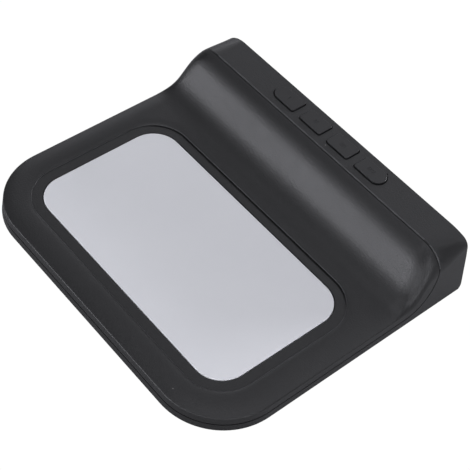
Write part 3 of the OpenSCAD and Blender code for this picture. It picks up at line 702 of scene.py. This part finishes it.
def dot_ring(z, y, shrink, steps=20):
    turns = [2 * math.pi * i / steps for i in range(steps)]
    return [((DOT_R - shrink) * math.cos(a), y, z + (DOT_R - shrink) * math.sin(a)) for a in turns]


bars, bar_places = [], []
depths = ((BAR_BACK, 0.0), (BAR_FRONT + BAR_CHAMFER, 0.0), (BAR_FRONT, BAR_CHAMFER))
for digit, digit_x in zip(SHOWN, DIGIT_X):
    for letter, (dx, dz, upright) in BAR_PLACES.items():
        x, z = digit_x + dx, DISPLAY_Z + dz
        bars.append(ring_body("bar", [bar_ring(x, z, upright, y, s) for y, s in depths]))
        bar_places.append((x, z, letter in LIT[digit]))
for dz in (-DOT_Z, DOT_Z):
    bars.append(ring_body("dot", [dot_ring(DISPLAY_Z + dz, y, s) for y, s in depths]))
    bar_places.append((0.0, DISPLAY_Z + dz, True))
digits = gather("digit_bars", bars)
for face in digits.data.polygons:
    cx, cz = face.center.x / MM, face.center.z / MM
    nearest = min(bar_places, key=lambda p: (p[0] - cx) ** 2 + (p[1] - cz) ** 2)
    face.material_index = 0 if nearest[2] else 1
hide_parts("digit_segments")
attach(digits, "housing")
print("bars:", len(bar_places), "lit:", sum(lit for _, _, lit in bar_places))

# %% [markdown]
# Feet and screws are turned parts. A turned part is its half profile, spun once round its axis:
# bmesh has spin for that. A profile lists the distance from the axis and the height of each point,
# from the bottom up. The feet have a shallow dimple and a rolled lip.

# %% Turned feet
PAD_PROFILE = ((0.0, 0.22), (3.9, 0.22), (4.4, 0.05), (4.7, 0.0), (5.5, 0.0), (5.8, 0.1),
               (6.0, 0.4), (6.0, 1.7), (0.0, 1.7))


def turned(x, y, profile, steps=40):
    bm = bmesh.new()
    verts = [bm.verts.new(Vector((x + r, y, z)) * MM) for r, z in profile]
    edges = [bm.edges.new(pair) for pair in zip(verts, verts[1:])]
    bmesh.ops.spin(bm, geom=verts + edges, cent=Vector((x, y, 0.0)) * MM, axis=(0, 0, 1),
                   angle=2 * math.pi, steps=steps, use_merge=True)
    return finish_mesh(bm, "turned")


feet = gather("foot_pads", [turned(x, y, PAD_PROFILE, 56) for x, y in PADS])
print("feet faces:", len(feet.data.polygons))

# %% [markdown]
# A screw is a low head, a core, and rings that stand for the thread, which is how a thread reads at
# this size. Its cross recess is two crossed blocks, cut out one after the other.

# %% Turned screws
HEAD_PROFILE = ((0.0, 0.12), (1.1, 0.04), (1.85, 0.0), (2.0, 0.06), (2.1, 0.2))
CORE_R, THREAD_R, THREAD_PITCH = 0.86, 1.0, 0.5
CROSS_L, CROSS_W, CROSS_DEPTH = 2.3, 0.5, 0.45
DOOR_HEAD_T = 0.6


def screw(x, y, z0, head, tip):
    profile = [(r, z0 + z) for r, z in HEAD_PROFILE] + [(HEAD_D / 2, z0 + head)]
    z = z0 + head
    profile.append((CORE_R, z))
    while z + THREAD_PITCH < tip - 0.5:
        profile += [(CORE_R, z + 0.1), (THREAD_R, z + 0.28), (CORE_R, z + 0.45)]
        z += THREAD_PITCH
    profile += [(0.8, tip - 0.35), (0.3, tip), (0.0, tip)]
    made = turned(x, y, profile, 32)
    height = OVER + CROSS_DEPTH * min(head, 1.0)
    for w, d in ((CROSS_L, CROSS_W), (CROSS_W, CROSS_L)):
        cut(made, block(x, y, z0 - OVER, w, d, height))
    return made


case_screws = gather("case_screws",
                     [screw(x, y, HEAD_Z, HEAD_T, HEAD_Z + SCREW_L) for x, y in SCREWS])
cell_screw = gather("cell_door_screw",
                    [screw(DOOR_X, DOOR_SCREW_Y, FOOT, DOOR_HEAD_T, FOOT + DOOR_SCREW_L)])
for piece, node, slot_name in ((feet, "rubber_feet", "rubber"),
                               (case_screws, "housing_screws", "screw"),
                               (cell_screw, "door_screw", "screw")):
    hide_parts(node)
    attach(piece, "housing")
print("screw faces:", [len(piece.data.polygons) for piece in (case_screws, cell_screw)])

# %% [markdown]
# The battery door is a plain plate with rounded corners, its screw in a recess at one end and four
# grip grooves at the other. The power socket is a drawn metal shell round a dark tongue.

# %% Battery door and power socket
GRIP_Y, GRIP_PITCH, GRIP_W, GRIP_D, GRIP_DEPTH = DOOR_Y + 14.2, 1.5, 11.0, 0.7, 0.35
SHELL_T, SHELL_BACK = 0.3, 1.2
TONGUE_L, TONGUE_W, TONGUE_T = SOCKET_L - 0.6, 5.8, 0.7
door = plate_body("cell_door", DOOR_W, DOOR_D, DOOR_R, FOOT, FOOT + DOOR_T, DOOR_Y, DOOR_X)
grips = [block(DOOR_X, GRIP_Y - GRIP_PITCH * i, FOOT - OVER, GRIP_W, GRIP_D, OVER + GRIP_DEPTH)
         for i in range(4)]
cut(door, gather("grips", grips))
cut(door, pillar(DOOR_X, DOOR_SCREW_Y, HEAD_D + 2 * FIT, FOOT - OVER, FOOT + DOOR_T / 2))
cut(door, pillar(DOOR_X, DOOR_SCREW_Y, SCREW_D + 2 * FIT, FOOT - OVER, FOOT + DOOR_T + OVER))
socket_back = SOCKET_X - SOCKET_L
socket = ring_body("socket_shell", [socket_outline(x, 0.0) for x in (socket_back, SOCKET_X)])
cut(socket, ring_body("cavity", [socket_outline(x, -SHELL_T)
                                 for x in (socket_back + SHELL_BACK, SOCKET_X + OVER)]))
cut(socket, block(SOCKET_X - SOCKET_L / 2 - 0.1, SOCKET_Y, SOCKET_Z - TONGUE_T / 2,
                  TONGUE_L, TONGUE_W, TONGUE_T), "UNION")
for face in socket.data.polygons:
    at = face.center / MM
    on_tongue = (abs(at.y - SOCKET_Y) < TONGUE_W / 2 + 0.05 and at.x > SOCKET_X - 6.3
                 and abs(at.z - SOCKET_Z) < TONGUE_T / 2 + 0.01)
    face.material_index = 1 if on_tongue else 0
for piece, node, slot_name in ((door, "battery_door", "housing"),
                               (socket, "power_socket", "socket")):
    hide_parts(node)
    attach(piece, "housing")
print("door faces:", len(door.data.polygons), "socket faces:", len(socket.data.polygons))

# %% [markdown]
# Real edges are never quite sharp, so they get a narrow bevel and catch the light as moulded
# plastic does. The bevel follows a weight on each edge. The edges of the front body that the
# photograph shows as light lines, before the seam and along the top of the display face, get a
# flat chamfer first. Its weight fades down the ends, where the seam closes to a hairline.

# %% Light lines and the bevel
SHARP = 32.0  # degrees between two faces
LINE_WIDTH, LINE_LOW, LINE_RISE = 0.5, SEAM_H + 12.0, 14.0
FACE_LINE_WEIGHT, FACE_LINE_DEPTH = 0.5, 9.0


def light_line(edge):
    place = (edge.verts[0].co + edge.verts[1].co) / 2 / MM
    if edge.calc_face_angle(0.0) < math.radians(SHARP):
        return 0.0
    if -SEAM_GAP < place.y - Y_SEAM < 0.0:
        return min(max((place.z - LINE_LOW) / LINE_RISE, 0.0), 1.0)
    on_face = abs(place.y - Y_FRONT) < 0.05 and place.z > TOP - FACE_LINE_DEPTH
    return FACE_LINE_WEIGHT if on_face else 0.0


def bevel(obj, width, edges_of, segments=2, clamp=True):
    bm = bmesh.new()
    bm.from_mesh(obj.data)
    layers = bm.edges.layers.float
    weight = layers.get("bevel_weight_edge") or layers.new("bevel_weight_edge")
    for edge in bm.edges:
        edge[weight] = float(edges_of(edge))
    bm.to_mesh(obj.data)
    bm.free()
    mod = obj.modifiers.new("edge", "BEVEL")
    mod.width = width * MM
    mod.segments = segments
    mod.limit_method = "WEIGHT"
    mod.use_clamp_overlap = clamp
    apply_modifiers(obj)


print("light line: full weight above", LINE_LOW + LINE_RISE, "mm")

# %% [markdown]
# All other edges get a fine bevel of their own. Smooth shading comes from the angle between faces:
# anything flatter than the limit is shaded as one surface, and normals are weighted by face size,
# so that the large flat faces stay flat.

# %% Soft edges and smooth shading
def soften(obj, width, wide=False):
    def corner(edge):
        long_enough = edge.calc_length() > 2.2 * width * MM
        return edge.calc_face_angle(0.0) > math.radians(SHARP) and long_enough

    if wide:
        bevel(obj, LINE_WIDTH, light_line, 1, clamp=False)
    if width:
        bevel(obj, width, corner)
    bm = bmesh.new()
    bm.from_mesh(obj.data)
    tidy(bm)
    bm.to_mesh(obj.data)
    bm.free()
    for face in obj.data.polygons:
        face.use_smooth = True
    obj.data.set_sharp_from_angle(angle=math.radians(SHARP))
    weighted = obj.modifiers.new("normals", "WEIGHTED_NORMAL")
    weighted.keep_sharp = True
    weighted.weight = 60


for piece, width in ((cover, 0.1), (body, 0.1), (mat, 0.0), (lens, 0.2), (door, 0.2),
                     (socket, 0.05)):
    soften(piece, width, wide=piece is body)
for piece in keys + [feet, case_screws, cell_screw, digits]:
    soften(piece, 0.0)
dressed = [(cover, ["housing"]), (body, ["housing"]), (mat, ["mat"]), (lens, ["lens"]),
           (feet, ["rubber"]), (case_screws, ["screw"]), (cell_screw, ["screw"]),
           (door, ["housing"]), (socket, ["socket", "black_part"]), (digits, ["lit", "dark"])]
dressed += [(key, ["key"]) for key in keys]
print("softened:", len(dressed), "pieces, body faces now:", len(body.data.polygons))

# %% [markdown]
# Edges of a moulding are rubbed by hands and polished by the tool, so they look a little lighter and
# smoother. The same lighter tone is also a painted highlight. On the black moulding it paints the
# light line on the chamfer before the seam, and on the mat it paints a light line round the rolled
# edge. The mesh itself knows where these edges are: each face gets a number, "rub_and_highlight",
# that is one on the narrow strips of the bevels and zero elsewhere. The materials read it as an
# attribute.

# %% Edge mark on every new piece
# Marks narrow convex edge strips, which the materials lighten as wear and also as a painted
# highlight.
def mark_edges(obj, limit=13.0, widest=0.8, share=0.6):
    bm = bmesh.new()
    bm.from_mesh(obj.data)
    rub_and_highlight = []
    for face in bm.faces:
        sharp = sum(e.calc_length() for e in face.edges
                    if e.calc_face_angle_signed(0.0) > math.radians(limit))
        around = max(face.calc_perimeter(), MM / 100)
        narrow = 2 * face.calc_area() / around < widest * MM
        rub_and_highlight.append(1.0 if sharp > share * around and narrow else 0.0)
    bm.free()
    layer = obj.data.attributes.new("rub_and_highlight", "FLOAT", "FACE")
    layer.data.foreach_set("value", rub_and_highlight)
    return sum(rub_and_highlight)


print("edge strips:", [int(mark_edges(piece)) for piece, _ in dressed])

# %% [markdown]
# Four effects are shared by many materials, so each is a shader node group, built once: the fine
# grain of the mould, the slow change of gloss where fingers have been, sparse dust, and the rubbed
# edge, which is wear and also a painted highlight on narrow edges. A group only puts out numbers
# that change over the surface; the Principled shader and its plain settings stay in each material.
# Every group reads a place on the piece in metres, from Object coordinates, so nothing slides when a
# part moves.

# %% Helpers for node trees
def new_group(name, inputs, output):
    tree = bpy.data.node_groups.new(name, "ShaderNodeTree")
    tree.interface.new_socket(name="Place", in_out="INPUT", socket_type="NodeSocketVector")
    for label, value in inputs:
        socket = tree.interface.new_socket(name=label, in_out="INPUT",
                                           socket_type="NodeSocketFloat")
        socket.default_value = value
    tree.interface.new_socket(name=output, in_out="OUTPUT", socket_type="NodeSocketFloat")
    return tree, tree.nodes.new("NodeGroupInput"), tree.nodes.new("NodeGroupOutput")


def add(tree, kind, **settings):
    node = tree.nodes.new(kind)
    for setting, value in settings.items():
        setattr(node, setting, value)
    return node


def feed(tree, node, **inputs):
    for label, value in inputs.items():
        socket = node.inputs[label.replace("_", " ")]
        if isinstance(value, (int, float)):
            socket.default_value = value
        else:
            tree.links.new(value, socket)
    return node


def math_node(tree, operation, a, b):
    node = add(tree, "ShaderNodeMath", operation=operation)
    for socket, value in zip(node.inputs, (a, b)):
        if isinstance(value, (int, float)):
            socket.default_value = value
        else:
            tree.links.new(value, socket)
    return node.outputs[0]


print("node helpers are ready")

# %% [markdown]
# Grain and gloss are noise at two very different sizes. Dust picks a few cells of a Voronoi pattern
# and keeps only their centres. The rubbed edge is partly wear and partly a painted highlight; it is
# the mark on the faces, made uneven by noise.

# %% Shader node groups
def grain_group():
    tree, inp, out = new_group("mould_grain", [("Size", 1800.0)], "Height")
    fine = feed(tree, add(tree, "ShaderNodeTexNoise"), Detail=3.0, Roughness=0.65,
                Vector=inp.outputs["Place"], Scale=inp.outputs["Size"])
    feed(tree, out, Height=fine.outputs["Fac"])
    return tree


def gloss_group():
    tree, inp, out = new_group("handled_gloss", [("Low", 0.3), ("High", 0.4), ("Size", 28.0)],
                               "Roughness")
    slow = feed(tree, add(tree, "ShaderNodeTexNoise"), Detail=4.0,
                Vector=inp.outputs["Place"], Scale=inp.outputs["Size"])
    spread = feed(tree, add(tree, "ShaderNodeMapRange"), From_Min=0.3, From_Max=0.7,
                  Value=slow.outputs["Fac"], To_Min=inp.outputs["Low"], To_Max=inp.outputs["High"])
    feed(tree, out, Roughness=spread.outputs["Result"])
    return tree


def dust_group(speck=0.07):
    tree, inp, out = new_group("sparse_dust", [("Amount", 0.02), ("Size", 240.0)], "Mask")
    cells = feed(tree, add(tree, "ShaderNodeTexVoronoi", feature="F1"),
                 Vector=inp.outputs["Place"], Scale=inp.outputs["Size"])
    split = feed(tree, add(tree, "ShaderNodeSeparateColor"), Color=cells.outputs["Color"])
    chosen = math_node(tree, "LESS_THAN", split.outputs["Red"], inp.outputs["Amount"])
    near = math_node(tree, "LESS_THAN", cells.outputs["Distance"], speck)
    feed(tree, out, Mask=math_node(tree, "MULTIPLY", chosen, near))
    return tree


# Edge mask: wear, and a painted highlight on the narrow edge strips.
def rub_and_highlight_group():
    tree, inp, out = new_group("rubbed_edge_and_painted_highlight", [("Strength", 0.5)], "Mask")
    rub_and_highlight = add(tree, "ShaderNodeAttribute", attribute_name="rub_and_highlight")
    uneven = feed(tree, add(tree, "ShaderNodeTexNoise"), Scale=150.0, Vector=inp.outputs["Place"])
    worn_and_lit = math_node(tree, "MULTIPLY", rub_and_highlight.outputs["Fac"], uneven.outputs["Fac"])
    feed(tree, out, Mask=math_node(tree, "MULTIPLY", worn_and_lit, inp.outputs["Strength"]))
    return tree


GRAIN, GLOSS, DUST, RUB_AND_HIGHLIGHT = grain_group(), gloss_group(), dust_group(), rub_and_highlight_group()
print("groups:", [group.name for group in (GRAIN, GLOSS, DUST, RUB_AND_HIGHLIGHT)])

# %% [markdown]
# Two small helpers join the groups up in a material: one places a group and hands it the place on
# the piece, the other mixes two colours by a mask.

# %% Placing and blending
def place(tree, group, spot, **values):
    node = add(tree, "ShaderNodeGroup", node_tree=group)
    return feed(tree, node, Place=spot, **values).outputs[0]


def blend(tree, mask, a, b):
    node = add(tree, "ShaderNodeMix", data_type="RGBA")
    tree.links.new(mask, node.inputs[0])
    for socket, value in ((node.inputs[6], a), (node.inputs[7], b)):
        if isinstance(value, tuple):
            socket.default_value = (*value, 1.0)
        else:
            tree.links.new(value, socket)
    return node.outputs[2]


print("blending helpers are ready")

# %% [markdown]
# A finish is a Principled shader with those groups round it. The base colour starts from a slow
# mottle of two near tones, then dust lightens it and rubbed edges lift it; that lift is wear and
# also a painted highlight on the narrow edge strips. The grain goes through a Bump node, with its
# depth in metres, because the whole scene is in metres.

# %% The builder of finishes
DUST_TONE = (0.16, 0.155, 0.15)


def finish(name, tone, tone_2, gloss, grain=(1800.0, 0.00001), dust=0.0, rub_and_highlight=0.0, rub_and_highlight_tone=None,
           metallic=0.0, specular=0.45, mottle=60.0):
    material = bpy.data.materials.new(name)
    material.use_nodes = True
    tree = material.node_tree
    shader = tree.nodes["Principled BSDF"]
    spot = add(tree, "ShaderNodeTexCoord").outputs["Object"]
    slow = feed(tree, add(tree, "ShaderNodeTexNoise"), Scale=mottle, Detail=5.0, Vector=spot)
    colour = blend(tree, slow.outputs["Fac"], tone, tone_2)
    if dust:
        colour = blend(tree, place(tree, DUST, spot, Amount=dust), colour, DUST_TONE)
    # Lighter edge strips: wear, and partly a painted highlight.
    if rub_and_highlight:
        colour = blend(tree, place(tree, RUB_AND_HIGHLIGHT, spot, Strength=rub_and_highlight), colour, rub_and_highlight_tone)
    size, depth = grain
    bump = feed(tree, add(tree, "ShaderNodeBump"), Distance=depth, Strength=1.0,
                Height=place(tree, GRAIN, spot, Size=size))
    feed(tree, shader, Base_Color=colour, Normal=bump.outputs["Normal"],
         Roughness=place(tree, GLOSS, spot, Low=gloss[0], High=gloss[1]))
    feed(tree, shader, Metallic=metallic, Specular_IOR_Level=specular)
    return material


print("dust on the finishes:", DUST_TONE)

# %% [markdown]
# The finishes of the outside come first. The moulding is a black that is never quite black: the
# studio puts a grey veil on it, and the grain spreads the long highlight on the wave. Its light edge
# tone is partly a painted highlight, the light line on the chamfer before the seam. The keys are the
# same black with a finer grain. The mat is a light grey satin sheet with the faintest blue, and its
# light edge tone paints a highlight line round its rolled edge.

# %% Finishes of the outside
BLACK, BLACK_2 = (0.0129, 0.0129, 0.0131), (0.0152, 0.0152, 0.0154)
# The light edge tone paints a highlight on the chamfer before the seam, as well as edge wear.
moulding = finish("black_moulding", BLACK, BLACK_2, (0.33, 0.38), grain=(1300.0, 0.00011),
                  dust=0.012, rub_and_highlight=1.6, rub_and_highlight_tone=(0.062, 0.062, 0.064))
key_finish = finish("key_moulding", BLACK, BLACK_2, (0.34, 0.40), grain=(2100.0, 0.000010),
                    rub_and_highlight=0.7, rub_and_highlight_tone=(0.04, 0.04, 0.043))
# The light edge tone paints a highlight line round the mat's rolled edge, as well as wear.
mat_finish = finish("mat_satin", (0.720, 0.727, 0.740), (0.775, 0.780, 0.790), (0.42, 0.52),
                    grain=(2600.0, 0.000003), rub_and_highlight=0.9, rub_and_highlight_tone=(0.85, 0.86, 0.88), mottle=26.0)
rubber = finish("foot_rubber", (0.018, 0.018, 0.018), (0.028, 0.027, 0.026), (0.62, 0.8),
                grain=(1500.0, 0.00002), dust=0.05, rub_and_highlight=0.6, rub_and_highlight_tone=(0.06, 0.06, 0.058))
steel = finish("plated_screw", (0.42, 0.42, 0.43), (0.55, 0.55, 0.56), (0.22, 0.34),
               grain=(2500.0, 0.000003), rub_and_highlight=0.8, rub_and_highlight_tone=(0.75, 0.75, 0.76), metallic=1.0)
socket_metal = finish("socket_shell", (0.50, 0.50, 0.51), (0.62, 0.62, 0.63), (0.2, 0.3),
                      grain=(2500.0, 0.000002), rub_and_highlight=0.6, rub_and_highlight_tone=(0.8, 0.8, 0.8), metallic=1.0)
print("outside finishes:", [m.name for m in (moulding, key_finish, mat_finish, rubber, steel,
                                             socket_metal)])

# %% [markdown]
# The lens is smoked acrylic. Transmission with a dark tint lets the lit digits through and keeps
# the window behind them almost black, as on the real display when it is seen from the front. The
# lit bars give off light of their own; the unlit ones are the same red plastic, dark.

# %% Lens and digits
smoked = finish("smoked_acrylic", (0.115, 0.075, 0.075), (0.125, 0.085, 0.085), (0.03, 0.06),
                grain=(900.0, 0.0000004))
tree = smoked.node_tree
feed(tree, tree.nodes["Principled BSDF"], Transmission_Weight=1.0, IOR=1.49)
bar_dark = finish("bar_unlit", (0.10, 0.012, 0.01), (0.13, 0.018, 0.014), (0.3, 0.4))
bar_lit = finish("bar_lit", (0.80, 0.06, 0.03), (0.85, 0.09, 0.05), (0.3, 0.4))
tree = bar_lit.node_tree
warm = feed(tree, add(tree, "ShaderNodeTexNoise"), Scale=400.0,
            Vector=add(tree, "ShaderNodeTexCoord").outputs["Object"])
glow = blend(tree, warm.outputs["Fac"], (1.0, 0.05, 0.02), (1.0, 0.10, 0.04))
feed(tree, tree.nodes["Principled BSDF"], Emission_Strength=6.0, Emission_Color=glow)
print("display finishes:", [m.name for m in (smoked, bar_dark, bar_lit)])

# %% [markdown]
# Inside are the parts that only a taken-apart clock shows. Each keeps its own finish, so that the
# assembly reads well when it is opened: green boards, black parts, white reflector, film ribbon,
# a steel cell, lacquered copper and dark ferrite.

# %% Finishes of the inside
inside = {
    "board": finish("solder_mask", (0.012, 0.085, 0.035), (0.020, 0.130, 0.055), (0.24, 0.34),
                    grain=(700.0, 0.000008), mottle=220.0),
    "black_part": finish("part_resin", (0.018, 0.018, 0.019), (0.034, 0.033, 0.033), (0.4, 0.58),
                         grain=(1900.0, 0.00001), mottle=160.0),
    "ribbon": finish("ribbon_film", (0.50, 0.33, 0.12), (0.60, 0.42, 0.18), (0.24, 0.34),
                     grain=(500.0, 0.000006), mottle=300.0),
    "white_part": finish("reflector_white", (0.74, 0.74, 0.71), (0.82, 0.82, 0.80), (0.3, 0.42),
                         grain=(1600.0, 0.000004)),
    "cell": finish("cell_steel", (0.52, 0.52, 0.51), (0.66, 0.66, 0.64), (0.24, 0.36),
                   grain=(1200.0, 0.000004), metallic=1.0, mottle=120.0),
    "copper": finish("lacquered_copper", (0.62, 0.25, 0.11), (0.78, 0.36, 0.18), (0.2, 0.32),
                     grain=(900.0, 0.00003), metallic=1.0, mottle=500.0),
    "ferrite": finish("ferrite_dark", (0.035, 0.032, 0.03), (0.06, 0.055, 0.05), (0.5, 0.7),
                      grain=(1300.0, 0.00003), mottle=200.0),
}
print("inside finishes:", sorted(inside))

# %% [markdown]
# New pieces take their finish by hand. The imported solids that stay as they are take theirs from
# the material slot that the record gives them, assigned into the slots that their meshes have.

# %% Give every piece its finish
finish_of_slot = {"housing": moulding, "mat": mat_finish, "lens": smoked, "key": key_finish,
                  "rubber": rubber, "screw": steel, "socket": socket_metal, "segment": bar_dark,
                  "lit": bar_lit, "dark": bar_dark, **inside}
for obj, slot_names in dressed:
    for slot_name in slot_names:
        obj.data.materials.append(finish_of_slot[slot_name])
for part in frame["record"]["subparts"]:
    for slot in nodes[part["node"]].material_slots:
        slot.material = finish_of_slot[part["material_slot"]]

# %% [markdown]
# The studio is a white table under soft light. The photograph shows pure white behind the clock,
# with no shadow, so the table and the world look white to the camera itself, while for every other
# ray they are an ordinary table and a dark room. Then the long highlight and the grey veil on the
# black come only from the lamps.

# %% Table and world
WHITE = 1.02


def white_for_camera(tree, usual, pure, result):
    pure.inputs["Color"].default_value = (1.0, 1.0, 1.0, 1.0)
    pure.inputs["Strength"].default_value = WHITE
    either = add(tree, "ShaderNodeMixShader")
    tree.links.new(add(tree, "ShaderNodeLightPath").outputs["Is Camera Ray"], either.inputs[0])
    tree.links.new(usual, either.inputs[1])
    tree.links.new(pure.outputs[0], either.inputs[2])
    tree.links.new(either.outputs[0], result)


bm = bmesh.new()
bmesh.ops.create_grid(bm, x_segments=1, y_segments=1, size=3.0)
floor = finish_mesh(bm, "floor")
table = finish("white_table", (0.39, 0.39, 0.39), (0.41, 0.41, 0.41), (0.85, 0.95),
               grain=(300.0, 0.00001), specular=0.2)
tree = table.node_tree
white_for_camera(tree, tree.nodes["Principled BSDF"].outputs[0], add(tree, "ShaderNodeEmission"),
                 tree.nodes["Material Output"].inputs["Surface"])
floor.data.materials.append(table)
world = bpy.data.worlds.new("studio")
world.use_nodes = True
sky = world.node_tree
feed(sky, sky.nodes["Background"], Strength=0.0)
white_for_camera(sky, sky.nodes["Background"].outputs[0], add(sky, "ShaderNodeBackground"),
                 sky.nodes["World Output"].inputs["Surface"])
bpy.context.scene.world = world
print("table and sky, seen by the camera:", WHITE)

# %% [markdown]
# The lamps are large and soft, and all of them stand 1.4 m away. A row close to the table stands
# for the bright sweep behind the clock: the wave mirrors it as the long grey highlight. The
# strongest stands low on the display side and draws the thin light line along the far edge. Weaker
# ones higher up give the flat tops their even grey. Their strengths were fitted to the photograph.
# Each row below is elevation and azimuth in degrees, and power in watts.

# %% Lamps
LAMP_SIZE, LAMP_DISTANCE, LAMP_TINT = (0.75, 0.5), 1.4, (0.985, 0.990, 1.055)
LAMPS = [(5, 45, 6.6), (5, 75, 7.6), (5, 105, 1.7), (5, 135, 2.0), (30, 60, 0.9), (5, 165, 3.4),
         (5, 255, 43.66), (20, 90, 1.46), (20, 120, 2.22), (20, 180, 1.16), (20, 330, 1.4),
         (10, 312, 0.8), (40, 22.5, 0.32), (40, 67.5, 0.74), (40, 157.5, 2.85),
         (40, 292.5, 1.27), (40, 337.5, 0.66), (62, 30, 0.36), (62, 90, 1.42), (62, 150, 0.2),
         (62, 210, 1.25), (62, 270, 0.88), (62, 330, 0.6), (90, 0, 1.93)]


def softbox(name, elevation, azimuth, power):
    data = bpy.data.lights.new(name, "AREA")
    data.shape = "RECTANGLE"
    data.size, data.size_y = LAMP_SIZE
    data.energy = power
    data.color = LAMP_TINT
    lamp = bpy.data.objects.new(name, data)
    bpy.context.scene.collection.objects.link(lamp)
    e, a = math.radians(elevation), math.radians(azimuth)
    way = Vector((math.cos(e) * math.cos(a), math.cos(e) * math.sin(a), math.sin(e)))
    lamp.location = way * LAMP_DISTANCE
    lamp.rotation_mode = "QUATERNION"
    lamp.rotation_quaternion = way.to_track_quat("Z", "Y")


for n, (elevation, azimuth, power) in enumerate(LAMPS):
    softbox(f"softbox_{n + 1}", elevation, azimuth, power)
bpy.context.scene.view_settings.view_transform = "Standard"
print("lamps:", len(LAMPS), "power:", round(sum(power for _, _, power in LAMPS), 1), "W")
